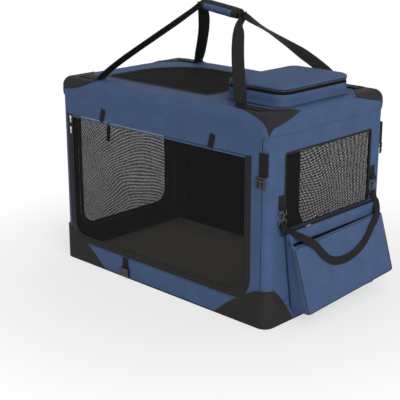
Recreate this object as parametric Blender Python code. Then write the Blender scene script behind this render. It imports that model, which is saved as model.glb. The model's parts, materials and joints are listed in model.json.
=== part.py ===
"""Soft folding dog crate: zipped fabric walls on two U-frames that fold down into a base tray."""

import math

import bmesh
import bpy
from mathutils import Matrix, Vector

# Overall size in metres: +X runs to the right end, -Y is the front, +Z is up
LENGTH = 0.915
WIDTH = 0.560
HEIGHT = 0.635
CORNER_R = 0.030
ROOF_EDGE_R = 0.030

# Clearances
GAP = 0.0003
PIN_PLAY = 0.0003
SLOT_PLAY = 0.0003

# Fabric thicknesses
FABRIC_T = 0.0030
FLOOR_T = 0.0030
SKIRT_T = 0.0025
PATCH_T = 0.0010
NET_T = 0.0012
WEB_T = 0.0016

# Steel frame and its hinges
TUBE_D = 0.016
FRAME_BEND_R = 0.045
LEFT_PIVOT_Z = 0.047
STACK_STEP = 0.028
PIN_D = 0.005
PIN_HEAD_D = 0.009
PIN_HEAD_T = 0.0015
CHEEK_T = 0.003
CHEEK_HALF = 0.0078
FOOT_W = 0.0145
SLEEVE_RISE = 0.016

# Long walls and roof
FRONT_FOLD_Z = 0.030
BACK_FOLD_Z = 0.038
VALANCE = 0.060
PANEL_DROP = 0.0008
FOLDED_ROOF_Z = 0.068

# Doors and windows, by their distance from their wall's edges
DOOR_RISE = 0.008
DOOR_DROP = 0.063
FRONT_DOOR_LEFT = 0.0455
FRONT_DOOR_RIGHT = 0.0735
LEFT_DOOR_SIDE = 0.068
RIGHT_WINDOW_SIDE = 0.075
RIGHT_WINDOW_DROP = 0.058
RIGHT_WINDOW_H = 0.222
BACK_WINDOW_RIGHT = 0.0575
BACK_WINDOW_W = 0.275
BACK_WINDOW_H = 0.400
DOOR_CORNER_R = 0.060
ZIP_BAND = 0.014

# Nets: strand width, and cells across and up
STRAND = 0.0035
FRONT_CELLS = (10, 6)
LEFT_CELLS = (5, 6)
RIGHT_CELLS = (6, 4)
BACK_CELLS = (4, 5)
SUNROOF_CELLS = (7, 5)

# Sunroof, by its margins to the roof's edges
SUNROOF_LEFT = 0.1125
SUNROOF_RIGHT = 0.3395
SUNROOF_SIDE = 0.110
SUNROOF_TIP_R = 0.012
SUNROOF_BACK_R = 0.160
SUNROOF_END_R = 0.040

# Sleeping mat
MAT_EDGE = 0.0150
MAT_CROWN = 0.0080
MAT_CORNER_R = 0.020
MAT_DRAW_IN = 0.006
MAT_SHOULDER = 0.014
MAT_SLOPE = 0.190
MAT_PLAY = 0.001

# Corner patches
BOTTOM_PATCH_LONG = 0.200
BOTTOM_PATCH_SHORT = 0.120
BOTTOM_PATCH_H = 0.118
TOP_PATCH_LONG = 0.120
TOP_PATCH_SHORT = 0.140
TOP_PATCH_IN_X = 0.050
TOP_PATCH_IN_Y = 0.095
PATCH_TIP = 0.006

# Roof pouch, by its margins to the roof's edges
POUCH_LEFT = 0.275
POUCH_RIGHT = 0.050
POUCH_FRONT = 0.118
POUCH_BACK = 0.122
POUCH_WALL = 0.042
POUCH_FLANGE = 0.010
POUCH_R = 0.035
POUCH_T = 0.0020
POUCH_ZIP_H = 0.006
LID_RISE = 0.020
LID_SHOULDER = 0.030
LID_HINGE_OUT = 0.001

# Carrying handle
STRAP_W = 0.038
STRAP_T = 0.0025
STRAP_Y = 0.228
STRAP_FLAT = (0.395, 0.308)
GRIP_X = 0.018
GRIP_Z = 0.868
GRIP_L = 0.150
GRIP_W = 0.052
GRIP_H = 0.034
GRIP_CUFF = 0.016
STRAP_RUN_OUT = 0.012
STRAP_TWIST = math.radians(42)
STRAP_BOW = 1.25
STRAP_STEPS = 11
STRAP_CROWDING = 1.3

# Bag on the right end
BAG_W = 0.430
BAG_BOTTOM = 0.048
BAG_TOP = 0.290
BAG_DEPTH_LOW = 0.085
BAG_DEPTH_TOP = 0.030
BAG_STANDOFF = 0.003
BAG_R = 0.022
RING_OVERHANG = 0.0065
RING_WIRE = 0.0032
RING_H = 0.018
RING_TOP_Z = 0.360
RING_OUT = 0.0068
HOOK_W = 0.006
HOOK_T = 0.0026
HOOK_DROP = 0.0145
HOOK_BAR_R = 0.0019
HOOK_EYE_H = 0.0110
TAB_W = 0.025
BAG_HANDLE_Y = 0.130
BAG_HANDLE_LOW = 0.165
BAG_PULL_Y = 0.129

# Side release buckles
BUCKLE_W = 0.034
BUCKLE_L = 0.030
BUCKLE_T = 0.0100
BUCKLE_X = -0.147
BUCKLE_WALL = 0.0018
SOCKET_LOW = 0.006
STRAP_DROP = 0.045
STRAP_L = 0.068
STRAP_INSET = 0.0105
PLUG_T = 0.005

# Zip pulls and the door's tie tabs
PULL_T = 0.0022
PULL_L = 0.023
PULL_HALF = 0.0042
PULL_NECK = 0.0016
PULL_EYE_R = 0.0015
# A door's upper pull starts below the hinge line, clear of the wall when the door is lifted
PULL_DROP = 0.0035
LOWER_PULL_DROP = 0.041
TIE_X = (-0.243, 0.240)
TIE_W = 0.016
TIE_L = 0.042

# Round-off counts
ARC_STEPS = 5
ARM_STEPS = 5
POUCH_STEPS = 4
TUBE_SIDES = 12
WIRE_SIDES = 6
PIN_SIDES = 12

# Places worked out from the sizes above
HALF_L = LENGTH / 2
HALF_W = WIDTH / 2
TUBE_R = TUBE_D / 2
RIGHT_PIVOT_Z = LEFT_PIVOT_Z + STACK_STEP
SKIRT_TOP = RIGHT_PIVOT_Z
RING_Z = FLOOR_T + GAP + TUBE_R
RING_INSET = SKIRT_T + GAP + TUBE_R
FRAME_X = HALF_L - FABRIC_T - GAP - TUBE_R
FRAME_TOP = HEIGHT - ROOF_EDGE_R
BRACKET_W = TUBE_D + 2 * SLOT_PLAY + 2 * CHEEK_T
LEG_Y = HALF_W - CORNER_R - BRACKET_W / 2
ROOF_RIM = HEIGHT - VALANCE
DOOR_LOW = SKIRT_TOP + DOOR_RISE
DOOR_HIGH = ROOF_RIM - DOOR_DROP
WINDOW_HIGH = ROOF_RIM - RIGHT_WINDOW_DROP
WINDOW_Y = HALF_W - RIGHT_WINDOW_SIDE
LEFT_DOOR_Y = HALF_W - LEFT_DOOR_SIDE
BACK_WINDOW_X = HALF_L - BACK_WINDOW_RIGHT
STRAP_TOP_Z = ROOF_RIM - STRAP_DROP
STRAP_LOW_Z = STRAP_TOP_Z - STRAP_L
RING_Y = BAG_W / 2 + RING_OVERHANG
WALL_END_X = HALF_L - CORNER_R - GAP
WALL_PIVOT_Y = HALF_W - FABRIC_T / 2
SLEEVE_Y = HALF_W - FABRIC_T - GAP
ROOF_TOP_SKIN = HEIGHT + GAP + PATCH_T + GAP
POUCH_RIM = HEIGHT + GAP + POUCH_WALL
LID_Z = POUCH_RIM + GAP + POUCH_ZIP_H + GAP
RING_X = HALF_L + RING_OUT
RING_LOW_Z = RING_TOP_Z - RING_H
BAG_BACK_X = HALF_L + BAG_STANDOFF

# Each opening as left, right, bottom, top in its own wall
FRONT_DOOR = (-HALF_L + FRONT_DOOR_LEFT, HALF_L - FRONT_DOOR_RIGHT, DOOR_LOW, DOOR_HIGH)
LEFT_DOOR = (-LEFT_DOOR_Y, LEFT_DOOR_Y, DOOR_LOW, DOOR_HIGH)
RIGHT_WINDOW = (-WINDOW_Y, WINDOW_Y, WINDOW_HIGH - RIGHT_WINDOW_H, WINDOW_HIGH)
BACK_WINDOW = (BACK_WINDOW_X - BACK_WINDOW_W, BACK_WINDOW_X, DOOR_HIGH - BACK_WINDOW_H, DOOR_HIGH)

# The sunroof and the pouch as left, right, front, back on the roof
SUNROOF = (
    SUNROOF_LEFT - HALF_L, HALF_L - SUNROOF_RIGHT, SUNROOF_SIDE - HALF_W, HALF_W - SUNROOF_SIDE,
)
POUCH = (
    HALF_L - POUCH_LEFT, HALF_L - POUCH_RIGHT, POUCH_FRONT - HALF_W, HALF_W - POUCH_BACK,
)

FACING_FRONT = (math.pi / 2, 0, 0)
FACING_END = (math.pi / 2, 0, math.pi / 2)
X_AXIS = Vector((1, 0, 0))
Y_AXIS = Vector((0, 1, 0))
Z_AXIS = Vector((0, 0, 1))


def clear_scene():
    for obj in list(bpy.data.objects):
        bpy.data.objects.remove(obj, do_unlink=True)


def material(name, red, green, blue, roughness, metallic=0.0):
    """One Principled material, made once and found again by its name."""
    found = bpy.data.materials.get(name)
    if found:
        return found
    made = bpy.data.materials.new(name)
    made.use_nodes = True
    shader = made.node_tree.nodes["Principled BSDF"]
    shader.inputs["Base Color"].default_value = (red, green, blue, 1)
    shader.inputs["Roughness"].default_value = roughness
    shader.inputs["Metallic"].default_value = metallic
    return made


def oxford():
    return material("navy_oxford", 0.058, 0.097, 0.202, 0.85)


def charcoal():
    return material("charcoal_patch", 0.030, 0.028, 0.028, 0.75)


def webbing():
    return material("black_webbing", 0.014, 0.014, 0.014, 0.8)


def netting():
    return material("black_net", 0.010, 0.010, 0.010, 0.9)


def zip_tape():
    return material("zip_tape", 0.024, 0.023, 0.021, 0.7)


def steel():
    return material("painted_steel", 0.020, 0.020, 0.022, 0.35, 0.6)


def nickel():
    return material("nickel", 0.62, 0.62, 0.60, 0.3, 1.0)


def plastic():
    return material("black_plastic", 0.012, 0.012, 0.013, 0.45)


def fleece():
    return material("mat_fleece", 0.62, 0.55, 0.43, 0.95)


def body_empty(name, location, parent=None):
    """The empty that a body's pieces hang on, with its origin on the joint's axis."""
    empty = bpy.data.objects.new(name, None)
    bpy.context.scene.collection.objects.link(empty)
    empty.empty_display_size = 0.05
    empty.location = Vector(location) - (parent.matrix_world.translation if parent else Vector())
    empty.parent = parent
    bpy.context.view_layer.update()
    return empty


def add_piece(name, bm, look, body, location=(0, 0, 0), rotation=(0, 0, 0), smooth=30):
    """Turns a bmesh into a named object that keeps its place in the crate under its body."""
    mesh = bpy.data.meshes.new(name)
    bm.to_mesh(mesh)
    bm.free()
    mesh.materials.append(look)
    mesh.shade_smooth()
    mesh.set_sharp_from_angle(angle=math.radians(smooth))
    obj = bpy.data.objects.new(name, mesh)
    bpy.context.scene.collection.objects.link(obj)
    obj.location = location
    obj.rotation_euler = rotation
    obj.parent = body
    obj.matrix_parent_inverse = body.matrix_world.inverted()
    return obj


def thicken(obj, thickness, offset=0.0):
    """Gives a sheet its thickness: offset 1 grows outwards, -1 inwards, 0 both ways."""
    modifier = obj.modifiers.new("thickness", "SOLIDIFY")
    modifier.thickness = thickness
    modifier.offset = offset
    modifier.use_even_offset = True
    return obj


def combine(obj, operation, helper_bm, location=(0, 0, 0), rotation=(0, 0, 0)):
    """Cuts a closed shape out of an object, or joins it on, with an exact Boolean."""
    mesh = bpy.data.meshes.new(obj.name + "_helper")
    helper_bm.to_mesh(mesh)
    helper_bm.free()
    helper = bpy.data.objects.new(obj.name + "_helper", mesh)
    bpy.context.scene.collection.objects.link(helper)
    helper.location = location
    helper.rotation_euler = rotation
    helper.hide_render = True
    helper.display_type = "WIRE"
    modifier = obj.modifiers.new(operation.lower(), "BOOLEAN")
    modifier.operation = operation
    modifier.solver = "EXACT"
    modifier.object = helper
    return obj


def cut(obj, helper_bm, location=(0, 0, 0), rotation=(0, 0, 0)):
    return combine(obj, "DIFFERENCE", helper_bm, location, rotation)


def join(obj, helper_bm, location=(0, 0, 0), rotation=(0, 0, 0)):
    return combine(obj, "UNION", helper_bm, location, rotation)


def fillet_loop(corners, steps=ARC_STEPS):
    """A closed outline through (x, y, radius) corners, each radius drawn as an arc."""
    points = []
    for i, (x, y, radius) in enumerate(corners):
        here = Vector((x, y))
        if radius <= 0:
            points.append(here)
            continue
        back = (Vector(corners[i - 1][:2]) - here).normalized()
        ahead = (Vector(corners[(i + 1) % len(corners)][:2]) - here).normalized()
        half_angle = back.angle(ahead) / 2
        reach = radius / math.tan(half_angle)
        centre = here + (back + ahead).normalized() * (radius / math.sin(half_angle))
        start = here + back * reach - centre
        end = here + ahead * reach - centre
        turn = start.angle_signed(end)
        for step in range(steps + 1):
            spin = Matrix.Rotation(-turn * step / steps, 2)
            points.append(centre + spin @ start)
    return points


def box_loop(left, right, low, high, radius=0.0, steps=ARC_STEPS):
    return fillet_loop(
        [(left, low, radius), (right, low, radius), (right, high, radius), (left, high, radius)],
        steps,
    )


def door_loop(door, inset=0.0):
    """A doorway's outline: square at the top, rounded at the two lower corners."""
    left, right, low, high = door
    radius = DOOR_CORNER_R - inset
    return fillet_loop([
        (left + inset, low + inset, radius),
        (right - inset, low + inset, radius),
        (right - inset, high - inset, 0),
        (left + inset, high - inset, 0),
    ])


def sunroof_loop(inset=0.0):
    left, right, front, back = SUNROOF
    return fillet_loop([
        (left + inset, front + inset, SUNROOF_TIP_R),
        (right - inset, front + inset, SUNROOF_TIP_R),
        (right - inset, back - inset, SUNROOF_END_R),
        (left + inset, back - inset, SUNROOF_BACK_R),
    ])


def plan_loop(inset=0.0, steps=ARC_STEPS):
    """The crate's outline in plan, moved inwards by an inset."""
    radius = max(CORNER_R - inset, 0)
    x = HALF_L - inset
    y = HALF_W - inset
    points = []
    for sign_x, sign_y, start in ((1, -1, -90), (1, 1, 0), (-1, 1, 90), (-1, -1, 180)):
        for step in range(steps + 1):
            angle = math.radians(start + 90 * step / steps)
            points.append(Vector((
                sign_x * (x - radius) + radius * math.cos(angle),
                sign_y * (y - radius) + radius * math.sin(angle),
            )))
    return points


def add_edges(bm, loop, z=0.0):
    verts = [bm.verts.new((point[0], point[1], z)) for point in loop]
    return [bm.edges.new(pair) for pair in zip(verts, verts[1:] + verts[:1])]


def flat_sheet(outline, holes=()):
    """A flat sheet in the local XY plane, with holes."""
    bm = bmesh.new()
    edges = add_edges(bm, outline)
    for hole in holes:
        edges += add_edges(bm, hole)
    bmesh.ops.triangle_fill(bm, use_beauty=True, edges=edges, normal=Z_AXIS)
    for face in bm.faces:
        if face.normal.z < 0:
            face.normal_flip()
    return bm


def turn_outwards(bm, centre):
    """Makes an open sheet's faces agree and look away from a centre."""
    bmesh.ops.recalc_face_normals(bm, faces=bm.faces)
    bm.normal_update()
    facing = sum((f.calc_center_median() - centre).dot(f.normal) * f.calc_area() for f in bm.faces)
    if facing < 0:
        bmesh.ops.reverse_faces(bm, faces=bm.faces)
    return bm


def bridge_rings(bm, rings, closed_ends=False):
    """Joins rings of equal count with quads, and fills the ends if asked."""
    rows = [[bm.verts.new(point) for point in ring] for ring in rings]
    for low, high in zip(rows, rows[1:]):
        for i in range(len(low)):
            j = (i + 1) % len(low)
            bm.faces.new((low[i], low[j], high[j], high[i]))
    if closed_ends:
        bm.faces.new(list(reversed(rows[0])))
        bm.faces.new(rows[-1])
    return rows


def lofted(rings):
    """A closed solid through rings of points."""
    bm = bmesh.new()
    bridge_rings(bm, rings, closed_ends=True)
    bmesh.ops.recalc_face_normals(bm, faces=bm.faces)
    return bm


def swept(points, section, closed=False):
    """A closed solid along points: section(i, tangent) gives each ring's offsets."""
    bm = bmesh.new()
    count = len(points)
    rings = []
    for i, point in enumerate(points):
        before = points[i - 1] if closed or i else points[i]
        after = points[(i + 1) % count] if closed or i < count - 1 else points[i]
        tangent = (after - before).normalized()
        rings.append([point + offset for offset in section(i, tangent)])
    if closed:
        rows = bridge_rings(bm, rings)
        for j in range(len(rows[0])):
            k = (j + 1) % len(rows[0])
            bm.faces.new((rows[-1][j], rows[-1][k], rows[0][k], rows[0][j]))
    else:
        bridge_rings(bm, rings, closed_ends=True)
    bmesh.ops.recalc_face_normals(bm, faces=bm.faces)
    return bm


def tube(points, radius, normal, closed=False, sides=TUBE_SIDES):
    """A round bar along a path that lies in the plane square to the normal."""

    def section(_, tangent):
        across = tangent.cross(normal).normalized()
        angles = [2 * math.pi * (k + 0.5) / sides for k in range(sides)]
        return [(across * math.cos(a) + normal * math.sin(a)) * radius for a in angles]

    return swept(points, section, closed)


def ribbon(points, widths, width, thickness):
    """Flat webbing along points, with one width direction for each point.

    Both of its faces are split along the same diagonals, so that a twist doesn't thin it.
    """
    bm = bmesh.new()
    rows = []
    last = len(points) - 1
    for i, point in enumerate(points):
        tangent = (points[min(i + 1, last)] - points[max(i - 1, 0)]).normalized()
        half = widths[i].normalized() * width / 2
        rise = tangent.cross(half).normalized() * thickness / 2
        ring = (-half - rise, half - rise, half + rise, -half + rise)
        rows.append([bm.verts.new(point + offset) for offset in ring])
    for low, high in zip(rows, rows[1:]):
        for i, j in ((0, 1), (3, 2)):
            bm.faces.new((low[i], low[j], high[j]))
            bm.faces.new((low[i], high[j], high[i]))
        for i, j in ((1, 2), (3, 0)):
            bm.faces.new((low[i], low[j], high[j], high[i]))
    bm.faces.new(rows[0])
    bm.faces.new(rows[last])
    bmesh.ops.recalc_face_normals(bm, faces=bm.faces)
    return bm


def bore(radius, length, sides=16):
    """A round cutter along local Z whose flats clear the radius."""
    reach = radius / math.cos(math.pi / sides)
    bm = bmesh.new()
    bmesh.ops.create_cone(
        bm, cap_ends=True, segments=sides, radius1=reach, radius2=reach, depth=length
    )
    return bm


def block(size_x, size_y, size_z):
    bm = bmesh.new()
    bmesh.ops.create_cube(bm, size=1)
    bmesh.ops.scale(bm, vec=(size_x, size_y, size_z), verts=bm.verts)
    return bm


def net_holes(outline_box, cells, rim, keep=None):
    """Rectangular cells between crossing strands; keep drops those past a rounded corner."""
    left, right, low, high = outline_box
    left, right, low, high = left + rim, right - rim, low + rim, high - rim
    across, up = cells
    step_x = (right - left + STRAND) / across
    step_y = (high - low + STRAND) / up
    holes = []
    for i in range(across):
        for j in range(up):
            x0 = left + i * step_x
            y0 = low + j * step_y
            x1 = x0 + step_x - STRAND
            y1 = y0 + step_y - STRAND
            corners = [(x0, y0), (x1, y0), (x1, y1), (x0, y1)]
            if keep is None or all(keep(x, y) for x, y in corners):
                holes.append(corners)
    return holes


def inside_loop(loop, margin):
    """A test that a point lies inside a convex outline by at least a margin."""

    def test(x, y):
        for i, point in enumerate(loop):
            along = loop[(i + 1) % len(loop)] - point
            if along.length < 1e-9:
                continue
            if along.cross(Vector((x, y)) - point) / along.length < margin:
                return False
        return True

    return test


def base_frame(body):
    """The floor's steel ring of round tube."""
    points = [Vector((p.x, p.y, RING_Z)) for p in plan_loop(RING_INSET)]
    add_piece("base_frame", tube(points, TUBE_R, Z_AXIS, closed=True), steel(), body)


def floor_panel(body):
    obj = add_piece("floor_panel", flat_sheet(plan_loop()), oxford(), body, (0, 0, FLOOR_T))
    thicken(obj, FLOOR_T, -1)


def base_skirt(body):
    """The fabric band that stands round the floor and holds the folded pack."""
    bm = bmesh.new()
    rings = []
    for z in (FLOOR_T + GAP, SKIRT_TOP):
        rings.append([Vector((p.x, p.y, z)) for p in plan_loop()])
    bridge_rings(bm, rings)
    turn_outwards(bm, Vector((0, 0, SKIRT_TOP / 2)))
    thicken(add_piece("base_skirt", bm, oxford(), body), SKIRT_T, -1)


def mat_ring(inset, z):
    half_x = HALF_L - RING_INSET - TUBE_R - MAT_PLAY - inset
    half_y = HALF_W - RING_INSET - TUBE_R - MAT_PLAY - inset
    corner = min(MAT_CORNER_R + 0.4 * inset, 0.6 * half_y)
    loop = box_loop(-half_x, half_x, -half_y, half_y, corner, 3)
    ring = []
    for here, after in zip(loop, loop[1:] + loop[:1]):
        ring.append(Vector((here.x, here.y, z)))
        run = after - here
        if run.length < corner:
            continue
        inward = Vector((-run.y, run.x)).normalized()
        for share in (0.25, 0.5, 0.75):
            point = here + run * share + inward * MAT_DRAW_IN * math.sin(math.pi * share)
            ring.append(Vector((point.x, point.y, z)))
    return ring


def sleeping_mat(body):
    """The padded mat: a flat underside, a seam round its middle and a crowned top."""
    low = FLOOR_T + GAP
    rings = [
        mat_ring(0.010, low),
        mat_ring(0.002, low + 0.002),
        mat_ring(0, low + MAT_EDGE * 0.45),
        mat_ring(0.003, low + MAT_EDGE * 0.8),
    ]
    for share in (0, 0.3, 0.65, 1):
        crown = MAT_CROWN * math.sin(share * math.pi / 2)
        rings.append(mat_ring(MAT_SHOULDER + MAT_SLOPE * share, low + MAT_EDGE + crown))
    add_piece("sleeping_mat", lofted(rings), fleece(), body, smooth=50)


def corner_columns(sign_x, sign_y, arm_x, arm_y, offset):
    """Points of the plan outline round one corner, each with its share of the way to a tip."""
    centre = Vector((sign_x * (HALF_L - CORNER_R), sign_y * (HALF_W - CORNER_R)))
    radius = CORNER_R + offset
    columns = []
    for step in range(ARM_STEPS):
        share = 1 - step / ARM_STEPS
        out = Vector((0, sign_y))
        columns.append((centre - Vector((sign_x * arm_x * share, 0)) + out * radius, out, share))
    for step in range(ARC_STEPS + 1):
        angle = math.pi / 2 * (1 - step / ARC_STEPS)
        out = Vector((sign_x * math.cos(angle), sign_y * math.sin(angle)))
        columns.append((centre + out * radius, out, 0.0))
    for step in range(1, ARM_STEPS + 1):
        share = step / ARM_STEPS
        out = Vector((sign_x, 0))
        columns.append((centre - Vector((0, sign_y * arm_y * share)) + out * radius, out, share))
    return columns


def bottom_patch(name, sign_x, sign_y, body):
    """A scuff patch round a bottom corner, highest on the corner and drawn out along both sides."""
    bm = bmesh.new()
    rows = []
    for point, _, share in corner_columns(
        sign_x, sign_y, BOTTOM_PATCH_LONG - CORNER_R, BOTTOM_PATCH_SHORT - CORNER_R, GAP
    ):
        top = PATCH_TIP + (BOTTOM_PATCH_H - PATCH_TIP) * (1 - share) ** 1.15
        rows.append([
            bm.verts.new((point.x, point.y, FLOOR_T * 0.5 + (top - FLOOR_T * 0.5) * k / 3))
            for k in range(4)
        ])
    for here, after in zip(rows, rows[1:]):
        for k in range(3):
            bm.faces.new((here[k], after[k], after[k + 1], here[k + 1]))
    turn_outwards(bm, Vector((0, 0, HEIGHT / 2)))
    thicken(add_piece(name, bm, charcoal(), body), PATCH_T, 1)


def top_patch(name, sign_x, sign_y, body):
    """A three-pointed patch over a roof corner: down the corner and out along both edges."""
    bm = bmesh.new()
    edge_z = HEIGHT - ROOF_EDGE_R
    rows = []
    columns = corner_columns(
        sign_x, sign_y, TOP_PATCH_LONG - CORNER_R, TOP_PATCH_SHORT - CORNER_R, GAP
    )
    for point, out, share in columns:
        first = round(share * ARM_STEPS) - 1
        column = [(point.x, point.y, ROOF_RIM + GAP)] if first < 0 else []
        for k in range(max(first, 0), ARC_STEPS + 1):
            turn = math.pi / 2 * k / ARC_STEPS
            flat = point - out * (ROOF_EDGE_R + GAP) * (1 - math.cos(turn))
            column.append((flat.x, flat.y, edge_z + (ROOF_EDGE_R + GAP) * math.sin(turn)))
        rows.append([bm.verts.new(co) for co in column])
    for here, after in zip(rows, rows[1:]):
        shared = min(len(here), len(after))
        for k in range(1, shared):
            bm.faces.new((here[-k], after[-k], after[-k - 1], here[-k - 1]))
        if len(here) > shared:
            bm.faces.new((here[-shared], after[-shared], here[-shared - 1]))
        if len(after) > shared:
            bm.faces.new((here[-shared], after[-shared], after[-shared - 1]))
    bmesh.ops.remove_doubles(bm, verts=bm.verts, dist=1e-6)
    top_z = HEIGHT + GAP
    rim_edges = [
        e for e in bm.edges
        if e.is_boundary and all(abs(v.co.z - top_z) < 1e-6 for v in e.verts)
    ]
    start, end = rows[0][-1], rows[-1][-1]
    hollow_x = sign_x * (HALF_L - TOP_PATCH_IN_X)
    hollow_y = sign_y * (HALF_W - TOP_PATCH_IN_Y)
    hollow = Vector((hollow_x, hollow_y, top_z))
    chain = [start]
    for k in range(1, 5):
        s = k / 5
        curve = start.co * (1 - s) ** 2 + hollow * 2 * s * (1 - s) + end.co * s ** 2
        chain.append(bm.verts.new(curve))
    chain.append(end)
    rim_edges += [bm.edges.new(pair) for pair in zip(chain, chain[1:])]
    bmesh.ops.triangle_fill(bm, use_beauty=True, edges=rim_edges, normal=Z_AXIS)
    turn_outwards(bm, Vector((0, 0, HEIGHT / 2)))
    thicken(add_piece(name, bm, charcoal(), body), PATCH_T, 1)


def hinge_bracket(name, sign_x, sign_y, pivot_z, body):
    """A clevis that saddles the base tube and holds a leg's pin."""
    profile = [Vector((-CHEEK_HALF, RING_Z)), Vector((CHEEK_HALF, RING_Z))]
    for step in range(9):
        angle = math.pi * step / 8
        round_off = Vector((math.cos(angle), math.sin(angle))) * CHEEK_HALF
        profile.append(Vector((0, pivot_z)) + round_off)
    place = (sign_x * FRAME_X, sign_y * LEG_Y + BRACKET_W / 2, 0)
    obj = add_piece(name, flat_sheet(profile), plastic(), body, place, FACING_FRONT)
    thicken(obj, BRACKET_W, 1)
    saddle = bore(TUBE_R + GAP, BRACKET_W * 2)
    ring_x = HALF_L - RING_INSET
    cut(obj, saddle, (sign_x * ring_x, sign_y * LEG_Y, RING_Z), FACING_FRONT)
    reach = TUBE_R + SLOT_PLAY
    slot_h = reach + CHEEK_HALF * 2
    slot = block(CHEEK_HALF * 4, TUBE_D + 2 * SLOT_PLAY, slot_h)
    cut(obj, slot, (sign_x * FRAME_X, sign_y * LEG_Y, pivot_z - reach + slot_h / 2))
    pin_hole = bore(PIN_D / 2 + PIN_PLAY, BRACKET_W * 2)
    cut(obj, pin_hole, (sign_x * FRAME_X, sign_y * LEG_Y, pivot_z), FACING_FRONT)


def hinge_pin(name, sign_x, sign_y, pivot_z, body):
    """A headed pin through a bracket's cheeks and the leg between them."""
    span = BRACKET_W + 2 * GAP
    shank = PIN_D / 2
    head = PIN_HEAD_D / 2
    profile = [(head, -span / 2 - PIN_HEAD_T), (head, -span / 2), (shank, -span / 2)]
    profile += [(shank, span / 2), (head, span / 2), (head, span / 2 + PIN_HEAD_T)]
    rings = []
    for radius, along in profile:
        ring = []
        for k in range(PIN_SIDES):
            angle = 2 * math.pi * k / PIN_SIDES
            ring.append(Vector((radius * math.cos(angle), radius * math.sin(angle), along)))
        rings.append(ring)
    place = (sign_x * FRAME_X, sign_y * LEG_Y, pivot_z)
    add_piece(name, lofted(rings), nickel(), body, place, FACING_FRONT)


def end_frame(name, sign_x, pivot_z, body):
    """A U of steel tube: two legs, each with a rounded eye for its pin, and a crossbar."""
    corners = fillet_loop([
        (-LEG_Y, pivot_z, 0),
        (-LEG_Y, FRAME_TOP, FRAME_BEND_R),
        (LEG_Y, FRAME_TOP, FRAME_BEND_R),
        (LEG_Y, pivot_z, 0),
    ])
    points = [Vector((sign_x * FRAME_X, p.x, p.y)) for p in corners]
    obj = add_piece(name, tube(points, TUBE_R, X_AXIS), steel(), body)
    for sign_y in (-1, 1):
        place = (sign_x * FRAME_X, sign_y * LEG_Y, pivot_z)
        foot = bore(TUBE_R * math.cos(math.pi / 12), FOOT_W, 12)
        join(obj, foot, place, FACING_FRONT)
        cut(obj, bore(PIN_D / 2 + PIN_PLAY, TUBE_D * 2), place, FACING_FRONT)


def end_panel(name, sign_x, holes, body):
    """An end wall that turns round both corners, where its foot rises to clear the tray."""
    flat_y = SLEEVE_Y - CORNER_R
    low = SKIRT_TOP + GAP
    high = ROOF_RIM - PANEL_DROP
    bm = bmesh.new()
    edges = add_edges(bm, box_loop(-flat_y, flat_y, low, high))
    for hole in holes:
        edges += add_edges(bm, hole)
    bmesh.ops.triangle_fill(bm, use_beauty=True, edges=edges, normal=Z_AXIS)
    for side in (-1, 1):
        seam = [v for v in bm.verts if abs(v.co.x - side * flat_y) < 1e-7]
        seam.sort(key=lambda v: v.co.y)
        for step in range(1, ARC_STEPS + 1):
            angle = math.pi / 2 * step / ARC_STEPS
            y = side * (flat_y + CORNER_R * math.sin(angle))
            depth = CORNER_R * (math.cos(angle) - 1)
            foot_z = low + SLEEVE_RISE * step / ARC_STEPS
            fresh = [bm.verts.new((y, max(v.co.y, foot_z), depth)) for v in seam]
            bm.faces.new((seam[0], fresh[0], fresh[1], seam[1]))
            seam = fresh
    for vert in bm.verts:
        y, z, depth = vert.co
        vert.co = (sign_x * (HALF_L + depth), y, z)
    turn_outwards(bm, Vector((0, 0, HEIGHT / 2)))
    obj = add_piece(name, bm, oxford(), body)
    thicken(obj, FABRIC_T, -1)


def long_wall(name, sign_y, hole, body):
    """A long side wall of fabric with one opening."""
    outline = box_loop(-WALL_END_X, WALL_END_X, SKIRT_TOP + GAP, ROOF_RIM - GAP)
    place = (0, sign_y * WALL_PIVOT_Y, 0)
    obj = add_piece(name, flat_sheet(outline, [hole]), oxford(), body, place, FACING_FRONT)
    thicken(obj, FABRIC_T)


def zip_frame(name, door, body, place, rotation):
    """The black zip tape round a door's edge."""
    outline = door_loop(door, GAP)
    inner = door_loop(door, ZIP_BAND)
    obj = add_piece(name, flat_sheet(outline, [inner]), zip_tape(), body, place, rotation)
    thicken(obj, FABRIC_T - GAP)


def door_net(name, door, cells, body, place, rotation):
    inset = ZIP_BAND + GAP
    outline = door_loop(door, inset)
    left, right, low, high = door
    inner = (left + inset, right - inset, low + inset, high - inset)
    holes = net_holes(inner, cells, STRAND, inside_loop(outline, STRAND * 0.8))
    obj = add_piece(name, flat_sheet(outline, holes), netting(), body, place, rotation)
    thicken(obj, NET_T)


def window_net(name, window, outline, cells, body, place, rotation):
    left, right, low, high = window
    inner = (left + GAP, right - GAP, low + GAP, high - GAP)
    holes = net_holes(inner, cells, STRAND, inside_loop(outline, STRAND * 0.8))
    obj = add_piece(name, flat_sheet(outline, holes), netting(), body, place, rotation)
    thicken(obj, NET_T)


def zip_pull(name, place, rotation, body):
    """A nickel slider with its pull tab, drawn as one cast piece hanging down local -Y."""
    tab = PULL_HALF - 0.001
    right = [
        (tab, -PULL_L, 0.003), (tab, -0.014, 0.001), (PULL_NECK, -0.012, 0), (PULL_NECK, -0.010, 0),
        (PULL_HALF, -0.009, 0.001), (PULL_HALF, 0, 0.001),
    ]
    left = [(-x, y, radius) for x, y, radius in reversed(right)]
    eye = []
    for k in range(6):
        angle = math.pi * k / 3
        y = -PULL_L + 0.004 + PULL_EYE_R * math.sin(angle)
        eye.append(Vector((PULL_EYE_R * math.cos(angle), y)))
    outline = fillet_loop(right + left, 2)
    obj = add_piece(name, flat_sheet(outline, [eye]), nickel(), body, place, rotation)
    thicken(obj, PULL_T)


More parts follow.
